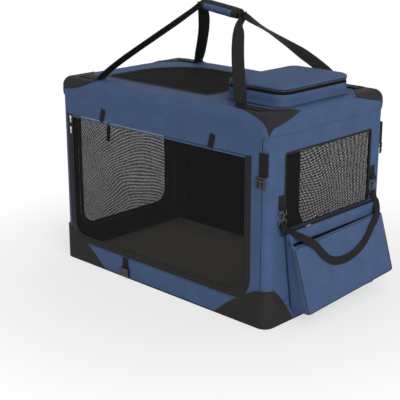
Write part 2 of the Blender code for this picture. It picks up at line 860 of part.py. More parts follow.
def tie_tab(name, x, body):
    """A short webbing tab above the door that ties the door when it is rolled up."""
    y = -HALF_W - GAP - WEB_T / 2
    top = FRONT_DOOR[3] + TIE_L
    points = [Vector((x + 0.004 * k / 4, y - 0.0006 * k, top - TIE_L * k / 4)) for k in range(5)]
    widths = [X_AXIS] * len(points)
    add_piece(name, ribbon(points, widths, TIE_W, WEB_T), webbing(), body)


def roof(body):
    """The roof: a flat top with a sunroof opening, rolled edges and a short valance."""
    bm = bmesh.new()
    rings = [[Vector((p.x, p.y, ROOF_RIM)) for p in plan_loop()]]
    for step in range(ARC_STEPS + 1):
        turn = math.pi / 2 * step / ARC_STEPS
        inset = ROOF_EDGE_R * (1 - math.cos(turn))
        z = HEIGHT - ROOF_EDGE_R + ROOF_EDGE_R * math.sin(turn)
        rings.append([Vector((p.x, p.y, z)) for p in plan_loop(inset)])
    bridge_rings(bm, rings)
    bmesh.ops.remove_doubles(bm, verts=bm.verts, dist=1e-6)
    bmesh.ops.dissolve_degenerate(bm, dist=1e-6, edges=bm.edges)
    top_edges = [
        e for e in bm.edges if e.is_boundary and all(v.co.z > HEIGHT - 1e-6 for v in e.verts)
    ]
    top_edges += add_edges(bm, sunroof_loop(), HEIGHT)
    bmesh.ops.triangle_fill(bm, use_beauty=True, edges=top_edges, normal=Z_AXIS)
    turn_outwards(bm, Vector((0, 0, 0)))
    thicken(add_piece("roof", bm, oxford(), body), FABRIC_T, -1)


def sunroof_net(body):
    outline = sunroof_loop(GAP)
    left, right, front, back = SUNROOF
    inner = (left + GAP, right - GAP, front + GAP, back - GAP)
    holes = net_holes(inner, SUNROOF_CELLS, STRAND, inside_loop(outline, STRAND * 0.8))
    place = (0, 0, HEIGHT - FABRIC_T / 2)
    thicken(add_piece("sunroof_net", flat_sheet(outline, holes), netting(), body, place), NET_T)


def pouch_ring(grow, z):
    left, right, front, back = POUCH
    sides = (left - grow, right + grow, front - grow, back + grow)
    loop = box_loop(*sides, POUCH_R + grow, POUCH_STEPS)
    return [Vector((p.x, p.y, z)) for p in loop]


def pouch_body(body):
    """The pouch's side wall on its sewn flange, open at the top; the roof is its floor."""
    low = HEIGHT + GAP + POUCH_T
    bm = bmesh.new()
    bridge_rings(bm, [
        pouch_ring(POUCH_FLANGE, low),
        pouch_ring(0.002, low),
        pouch_ring(0, low + 0.004),
        pouch_ring(0.001, low + POUCH_WALL / 2),
        pouch_ring(0, POUCH_RIM),
    ])
    turn_outwards(bm, Vector((sum(POUCH[:2]) / 2, sum(POUCH[2:]) / 2, 0)))
    thicken(add_piece("pouch_body", bm, oxford(), body), POUCH_T, -1)


def pouch_lid(body):
    """The pouch's domed lid, with its zip tape as a band round the foot."""
    bm = bmesh.new()
    low = POUCH_RIM + GAP
    rings = [pouch_ring(0.0005, low), pouch_ring(0.0005, LID_Z), pouch_ring(0.002, LID_Z + 0.004)]
    for step in range(1, 4):
        turn = math.pi / 2 * step / 3
        z = LID_Z + 0.004 + 0.012 * math.sin(turn)
        rings.append(pouch_ring(-LID_SHOULDER * (1 - math.cos(turn)), z))
    middle = Vector((sum(POUCH[:2]) / 2, sum(POUCH[2:]) / 2, 0))
    edge = rings[-1]
    for share, rise in ((0.6, 0.85), (0.25, 1.0)):
        z = LID_Z + LID_RISE * rise
        ring = [middle + (Vector((p.x, p.y, z)) - middle) * share for p in edge]
        for point in ring:
            point.z = z
        rings.append(ring)
    rows = bridge_rings(bm, rings)
    bm.faces.new(rows[-1])
    turn_outwards(bm, middle)
    thicken(add_piece("pouch_lid", bm, oxford(), body, smooth=50), POUCH_T, -1)


def eased(share):
    """From 0 to 1 with soft ends; past them it stays."""
    share = min(max(share, 0), 1)
    return share * share * (3 - 2 * share)


def strap_half(side, end, lift):
    """A strap's path from its sewn foot at one end of the roof up into the grip.

    Between the two its width turns square to its run, and its stations crowd near the roof.
    """
    flat_z = ROOF_TOP_SKIN + STRAP_T / 2
    run_z = GRIP_Z + lift
    run_x = GRIP_X + end * (GRIP_L / 2 + STRAP_RUN_OUT + lift)
    root_x, bend_x = (end * x for x in STRAP_FLAT)
    path = [
        (Vector((root_x, side * STRAP_Y, flat_z)), Y_AXIS),
        (Vector((bend_x, side * STRAP_Y, flat_z)), Y_AXIS),
    ]
    for k in range(1, STRAP_STEPS):
        s = (k / STRAP_STEPS) ** STRAP_CROWDING
        x = bend_x + (run_x - bend_x) * (0.25 * eased(s) + 0.75 * s)
        y = side * STRAP_Y * (1 - s ** STRAP_BOW)
        z = flat_z + (run_z - flat_z) * s
        twist = STRAP_TWIST * eased(2 * s) * eased(2 * (1 - s))
        width = Vector((-end * side * math.sin(twist), math.cos(twist), 0))
        path.append((Vector((x, y, z)), width))
    path.append((Vector((run_x, 0, run_z)), Y_AXIS))
    path.append((Vector((GRIP_X + end * GRIP_L / 2, 0, run_z)), Y_AXIS))
    return path


def handle_strap(name, side, lift, body):
    """One carrying strap: flat on a roof edge, up to the grip, through it and down again."""
    path = strap_half(side, 1, lift) + list(reversed(strap_half(side, -1, lift)))
    points = [point for point, _ in path]
    widths = [width for _, width in path]
    add_piece(name, ribbon(points, widths, STRAP_W, STRAP_T), webbing(), body)


def handle_grip(body):
    """A padded sleeve round both straps, a little slimmer at its two cuffs."""
    slot_h = 2 * STRAP_T + 3 * GAP
    slot_w = STRAP_W + 2 * GAP
    mid_z = GRIP_Z + (STRAP_T + GAP) / 2
    half = GRIP_L / 2
    stations = ((-half, -0.0030), (-half + 0.002, -0.0015), (-half + GRIP_CUFF, -0.0015))
    stations += ((-half + GRIP_CUFF + 0.002, 0.0),)
    stations += tuple((-x, grow) for x, grow in reversed(stations))
    rings = []
    for x, grow in stations:
        ring = []
        for k in range(20):
            angle = 2 * math.pi * k / 20
            y = (GRIP_W / 2 + grow) * math.cos(angle)
            z = (GRIP_H / 2 + grow) * math.sin(angle)
            ring.append(Vector((GRIP_X + x, y, mid_z + z)))
        rings.append(ring)
    obj = add_piece("handle_grip", lofted(rings), oxford(), body)
    cut(obj, block(GRIP_L * 2, slot_w, slot_h), (GRIP_X, 0, mid_z))


def buckle_strap(name, side, body):
    """A webbing end sewn to the right end wall's corner and lying over the long wall."""
    face = HALF_W + GAP
    right = HALF_L - STRAP_INSET + WEB_T
    knee = right - WEB_T
    left = right - TAB_W
    reach = right - (HALF_L - CORNER_R)
    root = SLEEVE_Y - CORNER_R + math.sqrt(CORNER_R ** 2 - (reach - WEB_T) ** 2) + GAP
    outline = [
        (left, face), (knee, face), (knee, root), (right, root), (right, face + WEB_T),
        (left, face + WEB_T),
    ]
    loop = [Vector((x, side * y)) for x, y in outline]
    if side < 0:
        loop.reverse()
    obj = add_piece(name, flat_sheet(loop), webbing(), body, (0, 0, STRAP_LOW_Z))
    thicken(obj, STRAP_TOP_Z - STRAP_LOW_Z, 1)


def plug_outline():
    """The prongs, guide and bar of a side release plug, pointing down local -Y."""
    half = BUCKLE_W / 2
    shoulder = -0.014
    right = [
        (0.0025, -0.032, 0.002), (0.0025, shoulder, 0), (half - 0.0065, shoulder, 0),
        (half - 0.0065, -0.036, 0.002), (half - 0.003, -0.036, 0.002), (half, -0.026, 0.001),
        (half - 0.002, -0.018, 0.001), (half, shoulder, 0.002), (half, 0, 0.002),
    ]
    left = [(-x, y, radius) for x, y, radius in reversed(right)]
    return fillet_loop(right + left, 2)


def buckle_plug(name, side, body):
    """The male half of a side release buckle, hanging on its webbing."""
    outline = plug_outline()
    slot = box_loop(-TAB_W / 2, TAB_W / 2, -0.0085, -0.0045)
    x = HALF_L - STRAP_INSET + WEB_T - BUCKLE_W / 2
    y = side * (HALF_W + GAP + PLUG_T / 2)
    obj = add_piece(
        name, flat_sheet(outline, [slot]), plastic(), body, (x, y, STRAP_LOW_Z - GAP), FACING_FRONT
    )
    thicken(obj, PLUG_T)


def buckle_socket(name, side, body):
    """The female half of a side release buckle, mouth upwards, with its webbing on the tray."""
    y = side * (HALF_W + GAP + BUCKLE_T / 2)
    mid_z = SOCKET_LOW + BUCKLE_L / 2
    bm = block(BUCKLE_W + 2 * BUCKLE_WALL, BUCKLE_T, BUCKLE_L)
    obj = add_piece(name, bm, plastic(), body, (BUCKLE_X, y, mid_z))
    hollow = BUCKLE_T - 2 * BUCKLE_WALL
    mouth = block(BUCKLE_W - BUCKLE_WALL, hollow, BUCKLE_L)
    cut(obj, mouth, (BUCKLE_X, y, mid_z + 2 * BUCKLE_WALL))
    cut(obj, block(BUCKLE_W * 2, hollow, BUCKLE_L * 0.36), (BUCKLE_X, y, mid_z))
    strap_low = SOCKET_LOW + BUCKLE_L - BUCKLE_WALL
    strap_high = SKIRT_TOP - SOCKET_LOW
    strap = block(TAB_W, WEB_T, strap_high - strap_low)
    strap_y = side * (HALF_W + GAP + BUCKLE_WALL / 2)
    join(obj, strap, (BUCKLE_X, strap_y, (strap_low + strap_high) / 2))


def loop_points(centre, radius, start, end, steps):
    """Points on an arc in the XZ plane, angles from +X towards +Z."""
    points = []
    for k in range(steps + 1):
        angle = math.radians(start + (end - start) * k / steps)
        points.append(centre + Vector((radius * math.cos(angle), 0, radius * math.sin(angle))))
    return points


def bag_tab(name, y, body):
    """Webbing sewn to the right end wall and turned round a ring's upper bar."""
    wrap = RING_WIRE / 2 + 0.0005 + WEB_T / 2
    centre = Vector((RING_X, y, RING_TOP_Z))
    back_x = HALF_L + GAP + WEB_T / 2
    points = [Vector((back_x, y, RING_TOP_Z + 0.040)), Vector((back_x, y, RING_TOP_Z + 0.012))]
    points += loop_points(centre, wrap, 160, 430, 9)
    points.append(Vector((back_x + WEB_T + 2 * GAP, y, RING_TOP_Z + 0.014)))
    widths = [Y_AXIS] * len(points)
    add_piece(name, ribbon(points, widths, TAB_W, WEB_T), webbing(), body)


def bag_ring(name, y, body):
    """A rectangular wire ring."""
    half_y = TAB_W / 2 + RING_WIRE / 2 + 0.001
    loop = box_loop(-half_y, half_y, RING_LOW_Z, RING_TOP_Z, 0.003, 2)
    points = [Vector((RING_X, y + p[0], p[1])) for p in loop]
    add_piece(name, tube(points, RING_WIRE / 2, X_AXIS, True, WIRE_SIDES), nickel(), body)


def snap_hook(name, y, body):
    """A hook round the ring's lower bar, with a rectangular eye below for the bag's webbing."""
    bend = (RING_WIRE + HOOK_T) / 2 + 2 * GAP
    centre = Vector((RING_X, y, RING_LOW_Z))
    points = loop_points(centre, bend, 245, -60, 11)
    points += [Vector((RING_X, y, RING_LOW_Z - HOOK_DROP))]
    widths = [Y_AXIS] * len(points)
    obj = add_piece(name, ribbon(points, widths, HOOK_W, HOOK_T), nickel(), body)
    half_y = TAB_W / 2 + HOOK_BAR_R + 0.001
    eye_top = RING_LOW_Z - HOOK_DROP
    loop = box_loop(-half_y, half_y, eye_top - HOOK_EYE_H, eye_top, 0.002, 2)
    eye = [Vector((RING_X, y + p[0], p[1])) for p in loop]
    join(obj, tube(eye, HOOK_BAR_R, X_AXIS, True, WIRE_SIDES))


def bag_depth(z):
    share = (z - BAG_BOTTOM) / (BAG_TOP - BAG_BOTTOM)
    return BAG_DEPTH_LOW + (BAG_DEPTH_TOP - BAG_DEPTH_LOW) * share


def bag_ring_loop(z, inset):
    depth = bag_depth(z)
    radius = min(BAG_R, depth / 2 - inset - 0.001)
    loop = box_loop(
        BAG_BACK_X + inset, BAG_BACK_X + depth - inset, -BAG_W / 2 + inset, BAG_W / 2 - inset, radius
    )
    return [Vector((p[0], p[1], z)) for p in loop]


def bag_shell(body):
    """The closed tote, deeper at its foot than at its zipped top."""
    rings = [bag_ring_loop(BAG_BOTTOM, 0.014), bag_ring_loop(BAG_BOTTOM + 0.004, 0.005)]
    rings.append(bag_ring_loop(BAG_BOTTOM + 0.014, 0))
    rings.append(bag_ring_loop((BAG_BOTTOM + BAG_TOP) / 2, 0))
    rings.append(bag_ring_loop(BAG_TOP - 0.010, 0))
    rings.append(bag_ring_loop(BAG_TOP - 0.003, 0.004))
    rings.append(bag_ring_loop(BAG_TOP, 0.010))
    obj = add_piece("bag_shell", lofted(rings), oxford(), body, smooth=50)
    for sign_y in (-1, 1):
        join(obj, bag_ear(sign_y * RING_Y))


def bag_ear(y):
    """Webbing from the hook's eye down into the bag's top corner."""
    wrap = HOOK_BAR_R + 0.0005 + WEB_T / 2
    centre = Vector((RING_X, y, RING_LOW_Z - HOOK_DROP - HOOK_EYE_H))
    foot_x = BAG_BACK_X + bag_depth(BAG_TOP) * 0.4
    points = [Vector((foot_x, y, BAG_TOP - 0.004)), Vector((foot_x, y, BAG_TOP + 0.010))]
    points += loop_points(centre, wrap, -20, 200, 8)
    points.append(centre + Vector((-0.0005, 0, -0.010)))
    return ribbon(points, [Y_AXIS] * len(points), TAB_W, WEB_T)


def bag_handle(body):
    """A webbing loop that hangs down the bag's front."""
    points = []
    widths = []
    off = GAP + WEB_T / 2 + 0.0006
    top = BAG_TOP - 0.020
    slope = (BAG_DEPTH_TOP - BAG_DEPTH_LOW) / (BAG_TOP - BAG_BOTTOM)
    out = Vector((1, 0, -slope)).normalized()

    def on_front(y, z):
        return Vector((BAG_BACK_X + bag_depth(z), y, z)) + out * off

    path = fillet_loop([
        (-BAG_HANDLE_Y, top, 0), (-BAG_HANDLE_Y * 0.8, BAG_HANDLE_LOW, 0.055),
        (BAG_HANDLE_Y * 0.8, BAG_HANDLE_LOW, 0.055), (BAG_HANDLE_Y, top, 0),
    ], 5)
    for p in path:
        points.append(on_front(p[0], p[1]))
    for i in range(len(points)):
        along = points[min(i + 1, len(points) - 1)] - points[max(i - 1, 0)]
        widths.append(out.cross(along.normalized()))
    add_piece("bag_handle", ribbon(points, widths, TAB_W, WEB_T), webbing(), body)


def bag_zip_pull(body):
    place = (BAG_BACK_X + bag_depth(BAG_TOP) / 2, -BAG_PULL_Y, BAG_TOP + GAP + PULL_T / 2)
    zip_pull("bag_zip_pull", place, (0, 0, math.pi), body)


def build_base(body):
    base_frame(body)
    floor_panel(body)
    base_skirt(body)
    sleeping_mat(body)
    for end, sign_x, pivot_z in (("left", -1, LEFT_PIVOT_Z), ("right", 1, RIGHT_PIVOT_Z)):
        for side, sign_y in (("front", -1), ("back", 1)):
            hinge_bracket(f"hinge_bracket_{end}_{side}", sign_x, sign_y, pivot_z, body)
            hinge_pin(f"hinge_pin_{end}_{side}", sign_x, sign_y, pivot_z, body)
            bottom_patch(f"bottom_patch_{end}_{side}", sign_x, sign_y, body)
    for side, sign_y in (("front", -1), ("back", 1)):
        buckle_socket(f"buckle_socket_{side}", sign_y, body)


def build_left_end(frame, door):
    end_frame("left_frame_tube", -1, LEFT_PIVOT_Z, frame)
    end_panel("left_end_panel", -1, [door_loop(LEFT_DOOR)], frame)
    place = (-HALF_L + FABRIC_T / 2, 0, 0)
    zip_frame("left_door_zip", LEFT_DOOR, door, place, FACING_END)
    door_net("left_door_net", LEFT_DOOR, LEFT_CELLS, door, place, FACING_END)
    pull_y = -LEFT_DOOR[1] + ZIP_BAND / 2
    pull_place = (-HALF_L - GAP - PULL_T / 2, pull_y, DOOR_HIGH - PULL_DROP)
    zip_pull("left_door_pull", pull_place, FACING_END, door)


def build_right_end(frame, bag, bag_pull):
    end_frame("right_frame_tube", 1, RIGHT_PIVOT_Z, frame)
    left, right, low, high = RIGHT_WINDOW
    end_panel("right_end_panel", 1, [box_loop(left, right, low, high)], frame)
    place = (HALF_L - FABRIC_T / 2, 0, 0)
    outline = box_loop(left + GAP, right - GAP, low + GAP, high - GAP)
    window_net("right_window_net", RIGHT_WINDOW, outline, RIGHT_CELLS, frame, place, FACING_END)
    bag_shell(bag)
    bag_handle(bag)
    bag_zip_pull(bag_pull)
    for side, sign_y in (("front", -1), ("back", 1)):
        buckle_strap(f"buckle_strap_{side}", sign_y, frame)
        buckle_plug(f"buckle_plug_{side}", sign_y, frame)
        bag_tab(f"bag_tab_{side}", sign_y * RING_Y, frame)
        bag_ring(f"bag_ring_{side}", sign_y * RING_Y, frame)
        snap_hook(f"snap_hook_{side}", sign_y * RING_Y, bag)


def build_front(wall, door):
    long_wall("front_wall", -1, door_loop(FRONT_DOOR), wall)
    for name, x in (("tie_tab_left", TIE_X[0]), ("tie_tab_right", TIE_X[1])):
        tie_tab(name, x, wall)
    place = (0, -WALL_PIVOT_Y, 0)
    zip_frame("front_door_zip", FRONT_DOOR, door, place, FACING_FRONT)
    door_net("front_door_net", FRONT_DOOR, FRONT_CELLS, door, place, FACING_FRONT)
    pull_x = FRONT_DOOR[0] + ZIP_BAND / 2
    for name, drop in (("upper", PULL_DROP), ("lower", LOWER_PULL_DROP)):
        place = (pull_x, -HALF_W - GAP - PULL_T / 2, DOOR_HIGH - drop)
        zip_pull(f"front_door_pull_{name}", place, FACING_FRONT, door)


def build_back(wall):
    long_wall("back_wall", 1, door_loop(BACK_WINDOW), wall)
    place = (0, WALL_PIVOT_Y, 0)
    outline = door_loop(BACK_WINDOW, GAP)
    window_net("back_window_net", BACK_WINDOW, outline, BACK_CELLS, wall, place, FACING_FRONT)


def build_roof(top, lid):
    roof(top)
    sunroof_net(top)
    for end, sign_x in (("left", -1), ("right", 1)):
        for side, sign_y in (("front", -1), ("back", 1)):
            top_patch(f"top_patch_{end}_{side}", sign_x, sign_y, top)
    handle_strap("handle_strap_front", -1, 0.0, top)
    handle_strap("handle_strap_back", 1, STRAP_T + GAP, top)
    handle_grip(top)
    pouch_body(top)
    pouch_lid(lid)
    place = (POUCH[0] + POUCH_R + 0.010, POUCH[2] - 0.001 - GAP - PULL_T / 2, LID_Z - GAP)
    zip_pull("pouch_pull", place, FACING_FRONT, lid)


def main():
    clear_scene()
    base = body_empty("base", (0, 0, 0))
    left_frame = body_empty("left_frame", (-FRAME_X, 0, LEFT_PIVOT_Z), base)
    left_door = body_empty("left_door", (-HALF_L + FABRIC_T / 2, 0, LEFT_DOOR[3]), left_frame)
    right_frame = body_empty("right_frame", (FRAME_X, 0, RIGHT_PIVOT_Z), base)
    bag = body_empty("bag", (RING_X, 0, RING_LOW_Z), right_frame)
    bag_pull = body_empty("bag_pull", (RING_X, 0, BAG_TOP), bag)
    front_wall = body_empty("front_wall_body", (0, -WALL_PIVOT_Y, FRONT_FOLD_Z), base)
    front_door = body_empty("front_door", (0, -WALL_PIVOT_Y, FRONT_DOOR[3]), front_wall)
    back_wall = body_empty("back_wall_body", (0, WALL_PIVOT_Y, BACK_FOLD_Z), base)
    top = body_empty("top", (0, 0, HEIGHT), base)
    lid = body_empty("lid", (0, POUCH[3] + LID_HINGE_OUT, POUCH_RIM + GAP), top)
    build_base(base)
    build_left_end(left_frame, left_door)
    build_right_end(right_frame, bag, bag_pull)
    build_front(front_wall, front_door)
    build_back(back_wall)
    build_roof(top, lid)


main()
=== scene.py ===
"""Soft folding dog crate dressed over its CAD frame: cloth, nets, zips, webbing, bag and mat."""

import json
import math

import bmesh
import bpy
import numpy as np
from mathutils import Matrix, Vector
from mathutils.geometry import delaunay_2d_cdt

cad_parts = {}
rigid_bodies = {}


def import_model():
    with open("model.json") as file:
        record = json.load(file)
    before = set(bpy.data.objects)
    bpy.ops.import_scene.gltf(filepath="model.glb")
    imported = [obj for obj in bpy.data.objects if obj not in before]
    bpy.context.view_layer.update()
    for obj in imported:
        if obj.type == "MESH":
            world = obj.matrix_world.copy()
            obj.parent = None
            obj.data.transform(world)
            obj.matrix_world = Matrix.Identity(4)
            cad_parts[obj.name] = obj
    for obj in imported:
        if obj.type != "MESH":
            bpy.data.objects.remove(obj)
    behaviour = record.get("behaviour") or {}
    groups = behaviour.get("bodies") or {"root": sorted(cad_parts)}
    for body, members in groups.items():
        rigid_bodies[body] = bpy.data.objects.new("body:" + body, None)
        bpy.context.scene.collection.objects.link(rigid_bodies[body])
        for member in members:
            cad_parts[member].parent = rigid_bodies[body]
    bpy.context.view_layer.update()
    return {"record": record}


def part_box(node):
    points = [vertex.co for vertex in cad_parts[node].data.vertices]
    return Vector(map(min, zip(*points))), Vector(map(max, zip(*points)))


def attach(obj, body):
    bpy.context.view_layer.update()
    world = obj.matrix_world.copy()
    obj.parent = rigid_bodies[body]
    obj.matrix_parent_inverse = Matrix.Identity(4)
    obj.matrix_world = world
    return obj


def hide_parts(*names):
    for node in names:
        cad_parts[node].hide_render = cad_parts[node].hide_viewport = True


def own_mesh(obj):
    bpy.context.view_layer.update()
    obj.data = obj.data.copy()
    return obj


bl_info = {
    "name": "Soft Folding Dog Crate",
    "version": (1, 0, 0),
    "blender": (4, 5, 0),
    "location": "View3D > Sidebar > Dog Crate",
    "description": "Dresses the CAD frame of a soft folding dog crate",
    "category": "Object",
}

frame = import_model()

# Main sizes in metres, as the CAD has them: +X is the bag's end, -Y the front, +Z up
HALF_L = 0.4575
HALF_W = 0.280
HEIGHT = 0.635
CORNER_R = 0.030
ROLL = CORNER_R * math.pi / 2
RIM_Z = 0.575
SLEEVE_Y = 0.2767
SLEEVE_RISE = 0.016
CLOTH_T = 0.0026
CENTRE = (0.0, 0.0, 0.31)
WALL_FOOT = 0.0753
HEM = 0.0003
PATCH_T = 0.0011
LEAF_GAP = 0.0015
NET_DEPTH = -0.0035
WALL_HALF = 0.4305
ENDS = ((-1, "left"), (1, "right"))
SIDES = ((-1, "front"), (1, "back"))

# Openings as left, right, bottom, top in their own wall
FRONT_DOOR = (-0.412, 0.384, 0.083, 0.512)
LEFT_DOOR = (-0.212, 0.212, 0.083, 0.512)
RIGHT_WINDOW = (-0.205, 0.205, 0.295, 0.517)
BACK_WINDOW = (0.125, 0.400, 0.112, 0.512)
DOOR_R = 0.060
SUNROOF = (-0.345, 0.118, -0.170, 0.170)
# How far each net's strands are turned, in degrees
NET_TURNS = {"front": 0, "left": 13, "back": 19, "right": 4}

# Roof pouch
POUCH = (0.1825, 0.4075, -0.162, 0.158)
POUCH_R = 0.035
POUCH_RIM = 0.6773
LID_LOW = 0.6776
LID_Z = 0.6839

# Handle
STRAP_W = 0.038
STRAP_Y = 0.228
STRAP_Z = 0.63785
GRIP_X = 0.018
GRIP_Z = 0.868
GRIP_L = 0.150
STRAP_ROOT = 0.395
STRAP_BEND = 0.308
STRAP_BOW = 1.25
STRAP_STEPS = 16
STRAP_CROWDING = 1.3
GRIP_TILT = 0.13
# How far each strap is turned, in degrees, from the roof (0) to the grip (1)
STRAP_TURNS = {
    (-1, -1): ((0, 0.3, 0.6, 1), (0, -6, -5, 0)),
    (-1, 1): ((0, 0.1, 0.6, 0.76, 0.86, 0.97, 1), (0, 30, 40, 12, -8, -36, -25)),
    (1, -1): ((0, 0.2, 0.85, 1), (0, 30, 28, 10)),
    (1, 1): ((0, 0.15, 0.42, 0.63, 0.79, 0.93, 1), (0, -30, -25, 12, 37, 5, 0)),
}
SEWN_HALF = 0.0145
WEB_T = 0.0018
TAB_W = 0.025

# Bag
BAG_X = 0.4605
BAG_W = 0.430
BAG_LOW = 0.050
BAG_TOP = 0.290
BAG_RIM = 0.254
BAG_DEEP = 0.074
BAG_RIM_DEEP = 0.041
RING_X = 0.4643
RING_Y = 0.2215
RING_TOP_Z = 0.360
EYE_Z = 0.3165

# Looks and slots that many pieces share
OXFORD = "navy_oxford_cloth"
LINED = [OXFORD, "black_lining"]
PATCH = "charcoal_coated_cloth"
WEBBING = "polypropylene_webbing"
TAPE = "zip_tape_twill"
THREAD = "bonded_thread"
TEETH = "coil_teeth"
HARDWARE_LOOKS = {
    "painted_steel": "powder_coated_steel",
    "nickel": "plated_zinc",
    "black_plastic": "moulded_acetal",
}


# The photograph's camera, fitted to the crate's corners: angles in radians, sizes in metres
CAMERA_AZIMUTH = 0.770266
CAMERA_ELEVATION = 0.303719
CAMERA_ROLL = -0.00146
CAMERA_DISTANCE = 3.275701
CAMERA_SHIFT = (0.056105, 0.068820)
FOCAL_PIXELS = 988.756
PICTURE_PIXELS = 400
SENSOR_MM = 36
# A far lamp as broad as a studio's softbox
LAMP_PLACE = (1.85, -1.05, 1.0)
LAMP_DEGREES = 50


# Settings


def metres(name, description, default, least):
    return bpy.props.FloatProperty(
        name=name, description=description, default=default, min=least, unit="LENGTH",
    )


def hex_code(name, description, default):
    return bpy.props.StringProperty(name=name, description=description, default=default)


class CrateSizes(bpy.types.PropertyGroup):
    """Sizes of the cloth's detail that a user would change."""

    cloth_step: metres("Cloth Step", "Spacing of the cloth's points", 0.008, 0.004)
    net_pitch: metres(
        "Net Pitch", "Strand spacing, drawn coarser than the real 1.5 mm mesh", 0.0027, 0.001,
    )
    net_strand: metres("Net Strand", "Width of one strand of the net", 0.00094, 0.0002)
    net_slack: metres("Net Slack", "How far the net strays from its plane", 0.0022, 0.0)
    stitch_pitch: metres("Stitch Pitch", "Length of one stitch with its gap", 0.0050, 0.002)
    tooth_pitch: metres("Tooth Pitch", "Spacing of the zip's teeth", 0.0026, 0.001)
    waviness: metres("Waviness", "Depth of the cloth's soft waves", 0.0016, 0.0)


class CrateColours(bpy.types.PropertyGroup):
    """Colours as sRGB hex codes."""

    cloth: hex_code("Cloth", "Blue Oxford cloth", "43577A")
    lining: hex_code("Lining", "Black inner face of the cloth", "161618")
    patch: hex_code("Patches", "Charcoal corner patches", "2B292A")
    webbing: hex_code("Webbing", "Black webbing", "1D1D1C")
    net: hex_code("Net", "Black net", "151516")
    tape: hex_code("Zip Tape", "Zip tape", "2B2A28")
    thread: hex_code("Thread", "Seam thread", "3C3D42")
    fleece: hex_code("Fleece", "Mat's pile", "CFC3AD")
    nickel: hex_code("Nickel", "Plated zinc", "D0CFCE")
    gunmetal: hex_code("Gunmetal", "Dark plating of the bag's rings and hooks", "58585B")
    plastic: hex_code("Plastic", "Acetal", "1B1B1D")
    steel: hex_code("Steel", "Powder coat", "262628")


class CrateStage(bpy.types.PropertyGroup):
    """The floor and the light."""

    sky: bpy.props.FloatProperty(
        name="Sky", description="Strength of the even light from all round", default=0.47, min=0,
    )
    sun: bpy.props.FloatProperty(
        name="Sun", description="Strength of the broad lamp far off, in W/m2", default=2.15, min=0,
    )
    floor: hex_code("Floor", "Floor colour", "F4F4F3")


# Materials


def linear(code):
    """Linear RGBA from an sRGB hex code."""
    levels = [int(code[i:i + 2], 16) / 255 for i in (0, 2, 4)]
    return tuple(
        c / 12.92 if c <= 0.04045 else ((c + 0.055) / 1.055) ** 2.4 for c in levels
    ) + (1.0,)


def add_node(tree, kind, links=None, **values):
    """Adds a node: values set its fields or its sockets by name, links join sockets to it."""
    made = tree.nodes.new(kind)
    for key, value in values.items():
        if hasattr(made, key):
            setattr(made, key, value)
        else:
            made.inputs[key.replace("_", " ")].default_value = value
    for socket, source in (links or {}).items():
        tree.links.new(source, made.inputs[socket])
    return made


def new_material(name, colour, roughness, metallic=0.0, ior=1.5):
    made = bpy.data.materials.new(name)
    made.use_nodes = True
    made.diffuse_color = linear(colour)
    shader = made.node_tree.nodes["Principled BSDF"]
    shader.inputs["Base Color"].default_value = linear(colour)
    shader.inputs["Roughness"].default_value = roughness
    shader.inputs["Metallic"].default_value = metallic
    if not metallic:
        shader.inputs["IOR"].default_value = ior
    return made, made.node_tree, shader


def bands(tree, coords, direction, pitch, distortion=0.4, detail_scale=1.0):
    """Bands of a pitch in metres: a Wave texture of scale 1 has 20 / (2 pi) of them a metre."""
    return add_node(
        tree, "ShaderNodeTexWave", {"Vector": coords}, bands_direction=direction,
        Scale=2 * math.pi / (20 * pitch), Distortion=distortion, Detail_Scale=detail_scale,
    ).outputs["Fac"]


def raised(tree, shader, height, strength, depth):
    """Gives the shader a bump from a height."""
    bump = add_node(
        tree, "ShaderNodeBump", {"Height": height}, Strength=strength, Distance=depth,
    )
    tree.links.new(bump.outputs[0], shader.inputs["Normal"])


def shaded(tree, shader, height, base, gloss, **levels):
    """Darkens the base colour, a socket or a hex code, where a weave lies low, as painted shade in
    its hollows, and lightens it where the weave stands high, as painted light.
    """
    shade = add_node(tree, "ShaderNodeMapRange", {"Value": height}, **levels)
    mixed = add_node(
        tree, "ShaderNodeVectorMath", {1: shade.outputs[0]}, operation="MULTIPLY",
    )
    if isinstance(base, str):
        mixed.inputs[0].default_value = linear(base)[:3]
    else:
        tree.links.new(base, mixed.inputs[0])
    tree.links.new(mixed.outputs[0], shader.inputs["Base Color"])
    shader.inputs["Specular IOR Level"].default_value = gloss


def mottled(tree, coords, colour, spread, scale):
    """The base colour, a little lighter and darker in soft patches."""
    cloud = add_node(tree, "ShaderNodeTexNoise", {"Vector": coords}, Scale=scale, Detail=3.0)
    ramp = add_node(tree, "ShaderNodeValToRGB", {0: cloud.outputs["Fac"]})
    base = linear(colour)
    ramp.color_ramp.elements[0].position = 0.3
    ramp.color_ramp.elements[1].position = 0.7
    ramp.color_ramp.elements[0].color = [c * (1 - spread) for c in base[:3]] + [1]
    ramp.color_ramp.elements[1].color = [c * (1 + spread) for c in base[:3]] + [1]
    return ramp.outputs["Color"]


def woven(name, colour, pitch, depth, roughness, spread=0.08, gloss=0.15):
    """Plain weave on the piece's own UV map, which is laid out in metres."""
    made, tree, shader = new_material(name, colour, roughness)
    coords = add_node(tree, "ShaderNodeUVMap", uv_map="UVMap").outputs["UV"]
    warp, weft = (bands(tree, coords, direction, pitch) for direction in "XY")
    height = add_node(tree, "ShaderNodeMath", {0: warp, 1: weft}, operation="MULTIPLY").outputs[0]
    raised(tree, shader, height, 0.5, depth)
    patchy = mottled(tree, coords, colour, spread, 14.0)
    shaded(tree, shader, height, patchy, gloss, To_Min=0.90, To_Max=1.06)
    return made


